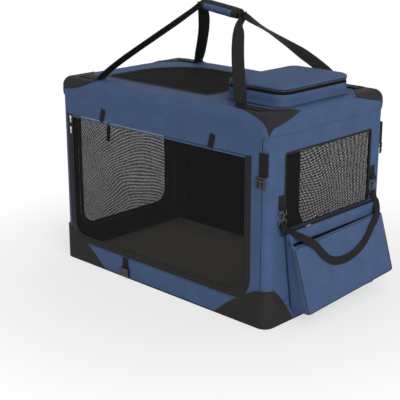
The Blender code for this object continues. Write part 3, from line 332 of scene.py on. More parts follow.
def ribbed(name, colour, rib, roughness):
    """Webbing: ribs along the band with short picks across, on the band's own UV map."""
    made, tree, shader = new_material(name, colour, roughness)
    coords = add_node(tree, "ShaderNodeUVMap", uv_map="UVMap").outputs["UV"]
    ribs = bands(tree, coords, "X", rib, 0.0)
    picks = bands(tree, coords, "Y", rib * 0.6, 1.0, 2.0)
    height = add_node(tree, "ShaderNodeMath", {0: ribs, 1: picks}, operation="ADD").outputs[0]
    raised(tree, shader, height, 0.6, 0.0005)
    shaded(tree, shader, height, colour, 0.08, From_Max=2.0, To_Min=0.65, To_Max=1.35)
    return made


def grained(name, colour, roughness, metallic, grain, depth, spread=0.08):
    """A hard finish with a fine grain in its colour, roughness and bump."""
    made, tree, shader = new_material(name, colour, roughness, metallic)
    coords = add_node(tree, "ShaderNodeTexCoord").outputs["Object"]
    speck = add_node(
        tree, "ShaderNodeTexNoise", {"Vector": coords}, Scale=1 / grain, Detail=2.0,
    )
    rough = add_node(
        tree, "ShaderNodeMapRange", {"Value": speck.outputs["Fac"]},
        To_Min=roughness * 0.8, To_Max=roughness * 1.2,
    )
    raised(tree, shader, speck.outputs["Fac"], 0.4, depth)
    patchy = mottled(tree, coords, colour, spread, 60.0)
    tree.links.new(patchy, shader.inputs["Base Color"])
    tree.links.new(rough.outputs[0], shader.inputs["Roughness"])
    return made


def fleecy(name, colour):
    """Knitted polyester fleece: a raised pile that looks soft and has no gloss."""
    made, tree, shader = new_material(name, colour, 0.95)
    coords = add_node(tree, "ShaderNodeTexCoord").outputs["Object"]
    # Tufts are 2 to 4 mm apart
    tufts = add_node(
        tree, "ShaderNodeTexVoronoi", {"Vector": coords}, Scale=1 / 0.0035, Randomness=1.0,
    )
    fibres = add_node(
        tree, "ShaderNodeTexNoise", {"Vector": coords}, Scale=1 / 0.0012, Detail=4.0,
    )
    height = add_node(
        tree, "ShaderNodeMath", {0: tufts.outputs["Distance"], 1: fibres.outputs["Fac"]},
        operation="SUBTRACT",
    )
    raised(tree, shader, height.outputs[0], 0.8, 0.0015)
    patchy = mottled(tree, coords, colour, 0.10, 35.0)
    tree.links.new(patchy, shader.inputs["Base Color"])
    shader.inputs["Sheen Weight"].default_value = 0.3
    return made


# Each finish: its maker, its colour in the settings and what else the maker takes
FINISHES = {
    # 600D polyester Oxford, PU backed: matt, a coarse plain weave; the real threads are 0.5 mm
    # apart and are drawn 1.8 mm apart so that they show
    OXFORD: (woven, "cloth", 0.0018, 0.0003, 0.78),
    # The same cloth's black inner face
    "black_lining": (woven, "lining", 0.0018, 0.0002, 0.85, 0.05, 0.04),
    # Heavier coated polyester: charcoal, a slight gloss on its yarns
    PATCH: (woven, "patch", 0.0022, 0.0004, 0.62, 0.08, 0.08),
    # Knitted polyester yarn, about 0.3 mm thick
    "net_yarn": (woven, "net", 0.0010, 0.0001, 0.8, 0.05),
    # Twill tape that carries a zip's coil
    TAPE: (ribbed, "tape", 0.0014, 0.75),
    # Ribs run along the webbing about 2 mm apart
    WEBBING: (ribbed, "webbing", 0.0024, 0.62),
    # Bonded nylon sewing thread
    THREAD: (woven, "thread", 0.0008, 0.0001, 0.6, 0.05),
    # Nylon coil: black, smoother than its tape
    TEETH: (grained, "plastic", 0.38, 0.0, 0.0008, 0.0001),
    # Knitted polyester fleece, brushed to a pile
    "brushed_fleece": (fleecy, "fleece"),
    # Nickel plate on die-cast zinc: bright, a little clouded by the casting
    "plated_zinc": (grained, "nickel", 0.28, 1.0, 0.0015, 0.00005, 0.05),
    # Black nickel plate on bent steel wire: dark, with small bright glints
    "gunmetal_plating": (grained, "gunmetal", 0.30, 1.0, 0.0015, 0.00005, 0.05),
    # Injection moulded, spark-eroded tool: fine satin grain
    "moulded_acetal": (grained, "plastic", 0.42, 0.0, 0.0007, 0.00008),
    # Black powder coat: satin with orange peel of about 1 mm
    "powder_coated_steel": (grained, "steel", 0.36, 0.0, 0.0012, 0.00012),
}


def material_of(key):
    """Each finish, made the first time that a piece asks for it."""
    maker, setting, *rest = FINISHES[key]
    found = bpy.data.materials.get(key)
    return found or maker(key, getattr(bpy.context.scene.dog_crate_colours, setting), *rest)


# Outlines


def rounded(corners, steps=8, closed=True):
    """Points of an outline through (x, y, radius) corners, each radius drawn as an arc."""
    points = []
    count = len(corners)
    for i, (x, y, radius) in enumerate(corners):
        here = Vector((x, y))
        if radius <= 0 or (not closed and i in (0, count - 1)):
            points.append(here)
            continue
        back = (Vector(corners[i - 1][:2]) - here).normalized()
        ahead = (Vector(corners[(i + 1) % count][:2]) - here).normalized()
        half = back.angle(ahead) / 2
        centre = here + (back + ahead).normalized() * (radius / math.sin(half))
        start = here + back * (radius / math.tan(half)) - centre
        turn = start.angle_signed(here + ahead * (radius / math.tan(half)) - centre)
        for step in range(steps + 1):
            points.append(centre + Matrix.Rotation(-turn * step / steps, 2) @ start)
    return np.array([tuple(p) for p in points])


def grown(box, grow):
    left, right, low, high = box
    return left - grow, right + grow, low - grow, high + grow


def box_outline(box, radius=0.0, grow=0.0, steps=8):
    left, right, low, high = grown(box, grow)
    radius = max(radius + grow, 0) if radius else 0
    return rounded(
        [(left, low, radius), (right, low, radius), (right, high, radius), (left, high, radius)],
        steps,
    )


def door_outline(door, grow=0.0):
    """A doorway: square at the top, rounded at its two lower corners."""
    left, right, low, high = grown(door, grow)
    radius = DOOR_R + grow
    return rounded(
        [(left, low, radius), (right, low, radius), (right, high, 0), (left, high, 0)], 10
    )


def zip_path(door, grow=0.0, top=0.0):
    """Down one side of a doorway, along its foot and up the other side."""
    left, right, low, _ = grown(door, grow)
    radius, high = DOOR_R + grow, door[3] + top
    return rounded(
        [(left, high, 0), (left, low, radius), (right, low, radius), (right, high, 0)],
        10, closed=False,
    )


def sunroof_outline(grow=0.0):
    """Square at its right end, and drawn in by a wide curve at the left back."""
    left, right, front, back = grown(SUNROOF, grow)
    return rounded([
        (left, front, 0.012 + grow), (right, front, 0.012 + grow),
        (right, back, 0.040 + grow), (left, back, 0.160 + grow),
    ], 12)


def spaced(points, step, closed=True):
    """The same outline with its long runs divided."""
    points = np.asarray(points, float)
    ends = np.roll(points, -1, axis=0) if closed else points[1:]
    out = []
    for a, b in zip(points, ends):
        count = max(1, math.ceil(np.linalg.norm(b - a) / step))
        out += [a + (b - a) * k / count for k in range(count)]
    if not closed:
        out.append(points[-1])
    return np.array(out)


def runs_of(points):
    """The length run at each point of a path."""
    return np.r_[0, np.cumsum(np.linalg.norm(np.diff(points, axis=0), axis=1))]


def along(points, step, closed=False):
    """Points at an even spacing along a path, with the last one kept."""
    points = np.asarray(points, float)
    if closed:
        points = np.vstack([points, points[:1]])
    lengths = runs_of(points)
    count = max(2, round(lengths[-1] / step))
    at = np.linspace(0, lengths[-1], count + 1)
    even = np.stack([np.interp(at, lengths, column) for column in points.T], axis=1)
    return even[:-1] if closed else even


def even_loop(points, count):
    """A closed outline as a set number of evenly spaced points."""
    closed = np.vstack([points, points[:1]])
    lengths = runs_of(closed)
    at = np.linspace(0, lengths[-1], count + 1)[:-1]
    return np.stack([np.interp(at, lengths, column) for column in closed.T], axis=1)


def inside(points, loop):
    """Which points lie inside an outline."""
    x, y = points[:, :1], points[:, 1:2]
    a = np.asarray(loop)
    b = np.roll(a, -1, axis=0)
    crosses = (a[:, 1] > y) != (b[:, 1] > y)
    rise = np.where(b[:, 1] == a[:, 1], 1e-12, b[:, 1] - a[:, 1])
    at = a[:, 0] + (y - a[:, 1]) * (b[:, 0] - a[:, 0]) / rise
    return (crosses & (x < at)).sum(axis=1) % 2 == 1


def border_distance(points, loops):
    """How far each point is from the nearest outline."""
    best = np.full(len(points), 1e9)
    for loop in loops:
        starts = np.asarray(loop)
        for start, end in zip(starts, np.roll(starts, -1, axis=0)):
            run = end - start
            rel = points - start
            share = np.clip((rel @ run) / max(run @ run, 1e-12), 0, 1)
            best = np.minimum(best, np.hypot(*(rel - share[:, None] * run).T))
    return best


def ease(x):
    x = np.clip(x, 0, 1)
    return x * x * (3 - 2 * x)


def waves(u, v, size, seed):
    """Soft waves between -1 and 1: a sum of sines whose directions the seed fixes."""
    turns = np.random.default_rng(seed)
    total = 0
    for _ in range(5):
        angle = turns.uniform(0, math.pi)
        pitch = size * turns.uniform(0.6, 1.6)
        phase = turns.uniform(0, 2 * math.pi)
        total = total + np.sin(
            2 * math.pi * (u * math.cos(angle) + v * math.sin(angle)) / pitch + phase
        )
    return total / 5


# Surfaces


def on_roof(points, out=0.0):
    """Plan points, unrolled past the flat top, to the roof's roll-over and valance."""
    points = np.asarray(points, float)
    flat = np.stack([
        np.clip(points[:, 0], -(HALF_L - CORNER_R), HALF_L - CORNER_R),
        np.clip(points[:, 1], -(HALF_W - CORNER_R), HALF_W - CORNER_R),
    ], axis=1)
    away = points - flat
    reach = np.hypot(*away.T)
    side = away / np.maximum(reach, 1e-9)[:, None]
    turn = np.minimum(reach / CORNER_R, math.pi / 2)
    drop = np.maximum(reach - ROLL, 0)
    radius = CORNER_R + out
    plan = flat + side * (radius * np.sin(turn))[:, None]
    z = HEIGHT - CORNER_R + radius * np.cos(turn) - drop
    return np.column_stack([plan, z])


def on_long(sign_y):
    """On the front (-1) or the back wall, from (x, height)."""
    def place(points, out=0.0):
        x, z = np.asarray(points, float).T
        return np.column_stack([x, sign_y * (HALF_W + out) + 0 * x, z])

    return place


on_front, on_back = on_long(-1), on_long(1)


def outline_table(half_l, half_w, steps=16):
    """Arc length, place and outward direction round the plan outline, from the front's left."""
    rows = []
    a, b = half_l - CORNER_R, half_w - CORNER_R
    centres = ((a, -b, -90), (a, b, 0), (-a, b, 90), (-a, -b, 180))
    for x, y, start in centres:
        for k in range(steps + 1):
            angle = math.radians(start + 90 * k / steps)
            nx, ny = math.cos(angle), math.sin(angle)
            rows.append((x + CORNER_R * nx, y + CORNER_R * ny, nx, ny))
    rows = np.vstack([[-a, -half_w, 0, -1], rows, [-a, -half_w, 0, -1]])
    lengths = np.r_[0, np.cumsum(np.hypot(*np.diff(rows[:, :2], axis=0).T))]
    return lengths, rows


TRAY_LINE = outline_table(HALF_L, HALF_W)
END_LINE = outline_table(HALF_L, SLEEVE_Y)


def on_line(line, points, out=0.0):
    """(run round the outline, height) to a place on the upright walls."""
    lengths, rows = line
    points = np.asarray(points, float)
    s = np.mod(points[:, 0], lengths[-1])
    x, y, nx, ny = (np.interp(s, lengths, column) for column in rows.T)
    return np.column_stack([x + nx * out, y + ny * out, points[:, 1]])


def on_tray(points, out=0.0):
    return on_line(TRAY_LINE, points, out)


def legs(line, half_w):
    """The long side, the short side and the quarter turn of a plan outline."""
    long_run, short_run = 2 * (HALF_L - CORNER_R), 2 * (half_w - CORNER_R)
    return long_run, short_run, (line[0][-1] - 2 * long_run - 2 * short_run) / 4


def end_middle(sign_x):
    """The run round the end wall's outline at the middle of an end."""
    long_run, short_run, quarter = legs(END_LINE, SLEEVE_Y)
    first = long_run + quarter + short_run / 2
    return first if sign_x > 0 else first + short_run + 2 * quarter + long_run


def on_end(sign_x):
    """Across an end wall, from its middle, with the corners wrapped round."""
    middle = end_middle(sign_x)

    def place(points, out=0.0):
        points = np.asarray(points, float)
        shifted = np.column_stack([middle + sign_x * points[:, 0], points[:, 1]])
        return on_line(END_LINE, shifted, out)

    return place


def tray_corner(sign_x, sign_y):
    """The run round the tray's outline at the middle of a corner."""
    long_run, short_run, quarter = legs(TRAY_LINE, HALF_W)
    runs = {
        (1, -1): long_run + quarter / 2,
        (1, 1): long_run + quarter * 1.5 + short_run,
        (-1, 1): 2 * long_run + quarter * 2.5 + short_run,
        (-1, -1): 2 * long_run + quarter * 3.5 + 2 * short_run,
    }
    return runs[(sign_x, sign_y)]


# Mesh makers


def sizes():
    return bpy.context.scene.dog_crate_sizes


def new_object(name, verts, faces, uvs=None, looks=(), face_looks=None, smooth=40):
    """A mesh object at the origin; uvs has one pair for each vertex."""
    mesh = bpy.data.meshes.new(name)
    mesh.from_pydata([tuple(v) for v in verts], [], [tuple(int(i) for i in f) for f in faces])
    if uvs is not None:
        layer = mesh.uv_layers.new(name="UVMap")
        index = np.empty(len(mesh.loops), int)
        mesh.loops.foreach_get("vertex_index", index)
        layer.data.foreach_set("uv", np.asarray(uvs, float)[index].ravel())
    for look in looks:
        mesh.materials.append(material_of(look))
    if face_looks is not None:
        mesh.polygons.foreach_set("material_index", np.asarray(face_looks, int))
    mesh.validate()
    obj = bpy.data.objects.new(name, mesh)
    bpy.context.scene.collection.objects.link(obj)
    if smooth:
        mesh.shade_smooth()
        mesh.set_sharp_from_angle(angle=math.radians(smooth))
    return obj


def select(*chosen):
    """Selects these objects, with the first one active."""
    for other in bpy.context.view_layer.objects:
        other.select_set(other in chosen)
    bpy.context.view_layer.objects.active = chosen[0]


def thickened(obj, thickness, inner=False):
    """Gives a sheet its thickness, with the second material on its inner face if asked."""
    modifier = obj.modifiers.new("thickness", "SOLIDIFY")
    modifier.thickness = thickness
    modifier.offset = -1.0
    modifier.use_even_offset = False
    if inner:
        modifier.material_offset = 1
        modifier.material_offset_rim = 0
    select(obj)
    bpy.ops.object.modifier_apply(modifier=modifier.name)
    obj.data.set_sharp_from_angle(angle=math.radians(45))
    return obj


def faced_out(verts, faces, centre=CENTRE):
    """Turns a sheet's triangles so that most of it looks away from a centre."""
    v = np.asarray(verts)
    f = np.asarray(faces)
    normals = np.cross(v[f[:, 1]] - v[f[:, 0]], v[f[:, 2]] - v[f[:, 0]])
    away = v[f].mean(axis=1) - np.asarray(centre)
    return f if (normals * away).sum() > 0 else f[:, ::-1]


def fill(loops, step):
    """Near even triangles over a flat region: its outline first, then its holes."""
    rims = [spaced(loop, step * 0.7) for loop in loops]
    low, high = rims[0].min(axis=0), rims[0].max(axis=0)
    rows = np.arange(low[1] + step / 2, high[1], step * 0.87)
    grid = []
    for i, y in enumerate(rows):
        xs = np.arange(low[0] + step * (0.25 + 0.5 * (i % 2)), high[0], step)
        grid.append(np.column_stack([xs, np.full(len(xs), y)]))
    grid = np.vstack(grid)
    keep = inside(grid, rims[0]) & (border_distance(grid, rims) > step * 0.45)
    for hole in rims[1:]:
        keep &= ~inside(grid, hole)
    coords = [Vector(p) for rim in rims for p in rim] + [Vector(p) for p in grid[keep]]
    faces = []
    start = 0
    for rim in rims:
        faces.append(list(range(start, start + len(rim))))
        start += len(rim)
    verts, _, tris, _, _, owners = delaunay_2d_cdt(coords, [], faces, 1, 1e-7)
    kept = [tri for tri, owner in zip(tris, owners) if all(o == 0 for o in owner)]
    return np.array([tuple(v) for v in verts]), np.array(kept), rims


def cloth(name, loops, place, looks, thickness=CLOTH_T, step=None, depth=0.0, seed=1, out=0.0,
          size=0.16, pucker=0.0, sag=None, centre=CENTRE):
    """A sheet of cloth over a flat region, laid on a surface with soft waves inwards."""
    step = step or sizes().cloth_step
    uv, tris, rims = fill(loops, step)
    border = border_distance(uv, rims)
    push = -depth * ease(border / 0.05) * (0.5 + 0.5 * waves(uv[:, 0], uv[:, 1], size, seed))
    if pucker:
        ripple = np.sin((uv[:, 0] + uv[:, 1]) * 2 * math.pi / 0.021 + 2 * np.sin(uv[:, 0] * 40))
        near = ease(border / 0.004) * np.exp(-border / 0.014)
        push = push + pucker * ripple * near
    if sag is not None:
        push = push + sag(uv)
    verts = place(uv, push + out)
    obj = new_object(name, verts, faced_out(verts, tris, centre), uv, looks)
    return thickened(obj, thickness, len(looks) > 1)


def outwards(obj, weld=False, dome=False):
    """Turns a skin's faces outwards: a weld merges its doubles, a dome's top looks up."""
    bm = bmesh.new()
    bm.from_mesh(obj.data)
    if weld:
        bmesh.ops.remove_doubles(bm, verts=bm.verts, dist=1e-6)
    bmesh.ops.recalc_face_normals(bm, faces=bm.faces)
    if dome and max(bm.faces, key=lambda f: f.calc_center_median().z).normal.z < 0:
        bmesh.ops.reverse_faces(bm, faces=bm.faces)
    bm.to_mesh(obj.data)
    bm.free()
    return obj


def tangents_of(points, closed=False):
    """Unit directions along a path."""
    if closed:
        tangents = np.roll(points, -1, axis=0) - np.roll(points, 1, axis=0)
    else:
        tangents = np.gradient(points, axis=0)
    return tangents / np.linalg.norm(tangents, axis=1)[:, None]


def frames_of(points, ups, closed):
    """Unit directions across a path, and its ups made square to it."""
    tangents = tangents_of(points, closed)
    sides = np.cross(tangents, ups)
    sides /= np.linalg.norm(sides, axis=1)[:, None]
    return sides, np.cross(sides, tangents)


def tube(name, verts, uvs, size, look, smooth, closed):
    """A skin through sections of size points each, closed along its run or capped."""
    count = len(verts) // size
    faces = []
    for i in range(count if closed else count - 1):
        j = (i + 1) % count
        for k in range(size):
            m = (k + 1) % size
            faces.append((i * size + k, j * size + k, j * size + m, i * size + m))
    if not closed:
        faces.append(tuple(range(size)))
        faces.append(tuple((count - 1) * size + k for k in reversed(range(size))))
    return outwards(new_object(name, verts, faces, uvs, [look], smooth=smooth))


def strip(name, points, ups, width, thickness, look, smooth=50, closed=False):
    """Flat webbing or tape along points, of one width or one for each point.

    Its face looks in the directions in ups, or in the one direction that ups is.
    """
    points = np.asarray(points, float)
    sides, ups = frames_of(points, np.broadcast_to(ups, points.shape), closed)
    halves, t = np.broadcast_to(np.asarray(width, float) / 2, len(points)), thickness / 2
    verts, uvs = [], []
    for point, side, up, w, run in zip(points, sides, ups, halves, runs_of(points)):
        flat = w - min(t, w * 0.4) * 0.4
        section = [
            (-w, 0), (-flat, -t), (flat, -t), (w, 0),
            (flat, t), (w * 0.34, t), (-w * 0.34, t), (-flat, t),
        ]
        for a, b in section:
            verts.append(point + side * a + up * b)
            uvs.append((a, run))
    return tube(name, verts, uvs, len(section), look, smooth, closed)


def path_on(path, place, out, step=0.006, closed=False):
    """A flat path laid on a surface, with the directions that the surface looks in."""
    flat = along(path, step, closed)
    near = place(flat, out)
    far = place(flat, out + 0.001)
    ups = (far - near) / 0.001
    return near, ups


def tape_on(name, path, place, out, width, thickness, look, step=0.006, closed=False):
    points, ups = path_on(path, place, out, step, closed)
    return strip(name, points, ups, width, thickness, look, closed=closed)


def piping(name, path, place, out, radius, look, step=0.006, closed=True, sides=8):
    """A corded edge laid along a path on a surface."""
    points, ups = path_on(path, place, out, step, closed)
    across, ups = frames_of(points, ups, closed)
    verts, uvs = [], []
    for point, side, up, run in zip(points, across, ups, runs_of(points)):
        for k in range(sides):
            angle = 2 * math.pi * k / sides
            verts.append(point + radius * (side * math.cos(angle) + up * math.sin(angle)))
            uvs.append((radius * angle, run))
    return tube(name, verts, uvs, sides, look, 40, closed)


def row_of(name, points, ups, length, width, height, gap, look, closed=False, wobble=0.0):
    """Small bars end to end or side by side along a path: stitches, or a zip's teeth."""
    centres = along(np.hstack([points, ups]), length + gap, closed)
    ups = centres[:, 3:] / np.linalg.norm(centres[:, 3:], axis=1)[:, None]
    centres = centres[:, :3]
    tangents = tangents_of(centres, closed)
    across = np.cross(tangents, ups)
    corners = np.array([
        (-1, -1, -1), (1, -1, -1), (1, 1, -1), (-1, 1, -1),
        (-0.8, -0.6, 1), (0.8, -0.6, 1), (0.8, 0.6, 1), (-0.8, 0.6, 1),
    ]) * (length / 2, width / 2, height / 2)
    quads = np.array([
        (3, 2, 1, 0), (4, 5, 6, 7), (0, 1, 5, 4), (1, 2, 6, 5), (2, 3, 7, 6), (3, 0, 4, 7),
    ])
    shift = np.where(np.arange(len(centres)) % 2, wobble, -wobble)[:, None]
    verts = (
        (centres + across * shift)[:, None, :]
        + corners[None, :, :1] * tangents[:, None, :]
        + corners[None, :, 1:2] * across[:, None, :]
        + corners[None, :, 2:] * ups[:, None, :]
    ).reshape(-1, 3)
    uvs = np.tile(corners[:, :2], (len(centres), 1))
    faces = (quads[None] + 8 * np.arange(len(centres))[:, None, None]).reshape(-1, 4)
    return outwards(new_object(name, verts, faces, uvs, [look], smooth=30))


def stitches(name, path, place, out, closed=False):
    """A line of stitches along a path on a surface."""
    pitch = sizes().stitch_pitch
    points, ups = path_on(path, place, out, 0.006, closed)
    stitch = pitch * 0.72
    return row_of(name, points, ups, stitch, 0.0009, 0.0006, pitch - stitch, THREAD, closed)


def coil(name, points, ups, width=0.0042, height=0.0016, wobble=0.0007):
    """A zip's teeth, each one a little aside of the last."""
    pitch = sizes().tooth_pitch
    tooth = pitch * 0.62
    return row_of(name, points, ups, tooth, width, height, pitch - tooth, TEETH, wobble=wobble)


def teeth(name, path, place, out):
    return coil(name, *path_on(path, place, out, 0.004))


def cuts_at(loop, axis, value):
    """Where the line axis = value crosses an outline, sorted along the other axis."""
    a = np.asarray(loop)
    b = np.roll(a, -1, axis=0)
    hit = (a[:, axis] > value) != (b[:, axis] > value)
    share = (value - a[hit, axis]) / (b[hit, axis] - a[hit, axis])
    other = 1 - axis
    return sorted(a[hit, other] + share * (b[hit, other] - a[hit, other]))


def net(name, loop, place, out, seed=3, turn=0.0):
    """Crossing strands clipped to an outline, one set just over the other, a little slack.

    The strands run at turn degrees to the outline's own axes.
    """
    pitch, wide, slack = sizes().net_pitch, sizes().net_strand, sizes().net_slack
    thick = 0.00040
    c, s = math.cos(math.radians(turn)), math.sin(math.radians(turn))
    spin = np.array([[c, -s], [s, c]])
    loop = np.asarray(loop) @ spin
    sections = np.array([(-wide / 2, -thick / 2), (wide / 2, -thick / 2),
                         (wide / 2, thick / 2), (-wide / 2, thick / 2)])
    flat, outs, faces, start = [], [], [], 0
    for axis in (0, 1):
        low, high = loop[:, axis].min(), loop[:, axis].max()
        for value in np.arange(low + pitch * 0.6, high - pitch * 0.3, pitch):
            ends = cuts_at(loop, axis, value)
            for first, last in zip(ends[::2], ends[1::2]):
                steps = max(2, round((last - first) / 0.022))
                run = np.linspace(first, last, steps + 1)
                for d, t in sections:
                    line = np.empty((steps + 1, 2))
                    line[:, axis] = value + d
                    line[:, 1 - axis] = run
                    flat.append(line)
                    outs.append(np.full(steps + 1, out + (axis - 0.5) * thick + t))
                rows = start + (steps + 1) * np.arange(4)
                for k in range(4):
                    a, b = rows[k], rows[(k + 1) % 4]
                    quad = np.array([a, b, b + 1, a + 1])
                    faces.append(quad + np.arange(steps)[:, None])
                faces.append([[rows[0], rows[3], rows[2], rows[1]]])
                faces.append([[row + steps for row in rows]])
                start += 4 * (steps + 1)
    flat, outs = np.vstack(flat), np.concatenate(outs)
    held = ease(border_distance(flat, [along(loop, 0.05, True)]) / 0.06)
    shifted = flat + np.column_stack([
        0.35 * slack * held * waves(flat[:, 0], flat[:, 1], 0.16, seed),
        0.35 * slack * held * waves(flat[:, 0], flat[:, 1], 0.16, seed + 1),
    ])
    outs = outs + slack * held * waves(flat[:, 0], flat[:, 1], 0.19, seed + 2)
    return new_object(
        name, place(shifted @ spin.T, outs), np.vstack(faces), flat, ["net_yarn"], smooth=0
    )


def merged(name, *parts):
    """Joins meshes made from several small ones into one named piece."""
    select(*parts)
    bpy.ops.object.join()
    parts[0].name = name
    parts[0].data.name = name
    return parts[0]


def lofted(name, rings, looks, marks=None, smooth=40, caps=(True, True)):
    """A skin through closed rings of equal count, with its UVs in metres round and along.

    The marks give each band between two rings its look, and the last one the far cap.
    """
    rings = [np.asarray(ring, float) for ring in rings]
    size, last = len(rings[0]), len(rings) - 1
    marks = marks or [0] * len(rings)
    uvs, run = [], 0.0
    for i, ring in enumerate(rings):
        if i:
            run += float(np.linalg.norm(ring - rings[i - 1], axis=1).mean())
        uvs += [(s, run) for s in runs_of(ring)]
    faces, face_looks = [], []
    for i in range(last):
        for k in range(size):
            m = (k + 1) % size
            faces.append((i * size + k, i * size + m, (i + 1) * size + m, (i + 1) * size + k))
            face_looks.append(marks[i])
    if caps[0]:
        faces.append(tuple(reversed(range(size))))
        face_looks.append(marks[0])
    if caps[1]:
        faces.append(tuple(last * size + k for k in range(size)))
        face_looks.append(marks[-1])
    obj = new_object(name, np.vstack(rings), faces, uvs, looks, face_looks, smooth)
    return outwards(obj) if all(caps) else obj


def settle(obj, body, *nodes, slot=None, fold=None):
    """Puts a piece on its body, hides the nodes it stands for and, given a fold, gives it a mesh of
    its own.
    """
    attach(obj, body)
    if nodes:
        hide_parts(*nodes)
    if fold:
        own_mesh(obj)
    return obj


# Pieces


class CRATE_OT_tray(bpy.types.Operator):
    """Builds the base tray: its floor cloth, the band round it and the scuff patches."""

    bl_idname = "dog_crate.tray"
    bl_label = "Base Tray"

    def execute(self, context):
        plan = box_outline((-HALF_L, HALF_L, -HALF_W, HALF_W), CORNER_R, 0.0005)

        def on_ground(points, out=0.0):
            return np.column_stack([points, 0.0030 + out + 0 * points[:, 0]])

        floor = cloth(
            "tray_floor", [plan], on_ground, ["black_lining"], 0.0030, 0.03, centre=(0, 0, -9)
        )
        settle(floor, "base", "floor_panel", slot="navy_oxford")
        length, count = TRAY_LINE[0][-1], 240
        rings = []
        for z, out in (
            (0.0033, 0.0000), (0.0045, 0.0006), (0.020, 0.0009), (0.050, 0.0008),
            (0.0725, 0.0007), (0.0745, 0.0001), (0.0750, -0.0010), (0.0740, -0.0024),
            (0.050, -0.0025), (0.0033, -0.0025),
        ):
            s = np.arange(count) * length / count
            soft = out + 0.0005 * waves(s, s * 0 + z * 4, 0.12, 4) * (0.004 < z < 0.07 and out > 0)
            rings.append(on_tray(np.column_stack([s, np.full(count, z)]), soft))
        rings.append(rings[0])
        skirt = lofted("tray_band", rings, LINED, [0] * 5 + [1] * 5, caps=(False, False))
        settle(outwards(skirt, True), "base", "base_skirt", slot="navy_oxford")
        runs = np.column_stack([np.linspace(0, length, 200)[:-1], np.full(199, 0.069)])
        seam = stitches("tray_stitches", runs, on_tray, 0.0012, True)
        settle(seam, "base", slot="navy_oxford")
        for sign_x, end in ENDS:
            for sign_y, side in SIDES:
                self.patch(f"bottom_patch_{end}_{side}", sign_x, sign_y)
        return {"FINISHED"}

    def patch(self, node, sign_x, sign_y):
        """A scuff patch: high on its corner, drawn out low along both sides."""
        middle = tray_corner(sign_x, sign_y)
        quarter = CORNER_R * math.pi / 4
        long_run, short_run = 0.170 + quarter, 0.090 + quarter
        before, after = (long_run, short_run) if sign_x * sign_y < 0 else (short_run, long_run)

        def top_at(run):
            reach = before if run < 0 else after
            share = np.clip((abs(run) - quarter) / (reach - quarter), 0, 1)
            return 0.006 + 0.112 * (1 - share ** 1.25) ** 0.95

        runs = np.linspace(-before, after, 61)
        outline = [(middle + r, top_at(r)) for r in runs[::-1]]
        outline = [(middle - before, 0.0012), (middle + after, 0.0012)] + outline
        name = node.replace("bottom", "scuff")
        patch = cloth(name, [np.array(outline)], on_tray, [PATCH], PATCH_T, 0.007, out=0.0024)
        edge = [(middle + r, top_at(r) - 0.0045) for r in runs[2:-2]]
        seam = stitches("seam", edge, on_tray, 0.0026)
        settle(merged(name, patch, seam), "base", node, slot="charcoal_patch",
               fold="tray_corner")


class CRATE_OT_mat(bpy.types.Operator):
    """Builds the fleece sleeping mat: crowned, with a corded seam round its edge."""

    bl_idname = "dog_crate.mat"
    bl_label = "Sleeping Mat"

    def execute(self, context):
        low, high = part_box("sleeping_mat")
        half_x, half_y = high.x, high.y

        def ring(inset, z, wave=0.0):
            box = (-half_x + inset, half_x - inset, -half_y + inset, half_y - inset)
            even = even_loop(box_outline(box, 0.022 + 0.2 * inset, steps=6), 236)
            x, y = even.T
            pull = 0.004 * np.cos(x * math.pi / (2 * half_x)) * (abs(y) > half_y * 0.9)
            even = even - np.column_stack([0 * x, np.sign(y) * pull])
            return np.column_stack([even, z + wave * waves(even[:, 0], even[:, 1], 0.13, 7)])

        z0 = low.z
        rings = [
            ring(0.012, z0), ring(0.003, z0 + 0.002), ring(0.0005, z0 + 0.006),
            ring(0.0022, z0 + 0.0085), ring(0.0004, z0 + 0.011), ring(0.003, z0 + 0.0145),
        ]
        for k in range(1, 13):
            share = k / 12
            crown = 0.0065 * math.sin(share * math.pi / 2)
            rings.append(ring(
                0.010 + 0.150 * share, z0 + 0.0160 + crown, 0.0012 * math.sin(math.pi * share)
            ))
        mat = lofted("fleece_mat", rings, ["brushed_fleece"], smooth=60)
        settle(mat, "base", "sleeping_mat", slot="mat_fleece")
        return {"FINISHED"}


def long_wall(end, hole, place, seed):
    """The cloth of the front or back wall."""
    outline = box_outline((-WALL_HALF, WALL_HALF, WALL_FOOT, RIM_Z - HEM))
    wall = cloth(
        f"{end}_cloth", [outline, hole], place, LINED, depth=sizes().waviness, seed=seed,
        pucker=0.0004,
    )
    settle(wall, f"{end}_wall_body", f"{end}_wall", slot="navy_oxford")


class CRATE_OT_front_wall(bpy.types.Operator):
    """Builds the front wall, its zip tape, the tie tabs and the hem round its doorway."""

    bl_idname = "dog_crate.front_wall"
    bl_label = "Front Wall"

    def execute(self, context):
        long_wall("front", door_outline(FRONT_DOOR, LEAF_GAP), on_front, 11)
        zip_half("front", FRONT_DOOR, on_front, "front_wall_body")
        for name, x in (("tie_tab_left", -0.243), ("tie_tab_right", 0.240)):
            path = [(x + 0.005, 0.5535), (x + 0.003, 0.540), (x, 0.527), (x - 0.004, 0.5125)]
            points, ups = path_on(path, on_front, 0.0014, 0.004)
            points[:, 1] -= 0.0016 * ease((0.553 - points[:, 2]) / 0.04)
            tab = strip("tie_band", points, ups, 0.020, 0.0017, WEBBING)
            box = [(x - 0.003, 0.551), (x + 0.011, 0.551), (x + 0.010, 0.542), (x - 0.004, 0.542)]
            sewn = stitches("tie_stitches", box, on_front, 0.0034, True)
            settle(merged(name + "_webbing", tab, sewn), "front_wall_body", name,
                   slot="black_webbing")
        path = [(-0.222, 0.518), (-0.224, 0.478), (-0.227, 0.448)]
        inner = tape_on("inner_tie_webbing", path, on_front, -0.0075, 0.016, 0.0016, WEBBING)
        settle(inner, "front_wall_body", slot="black_webbing")
        return {"FINISHED"}


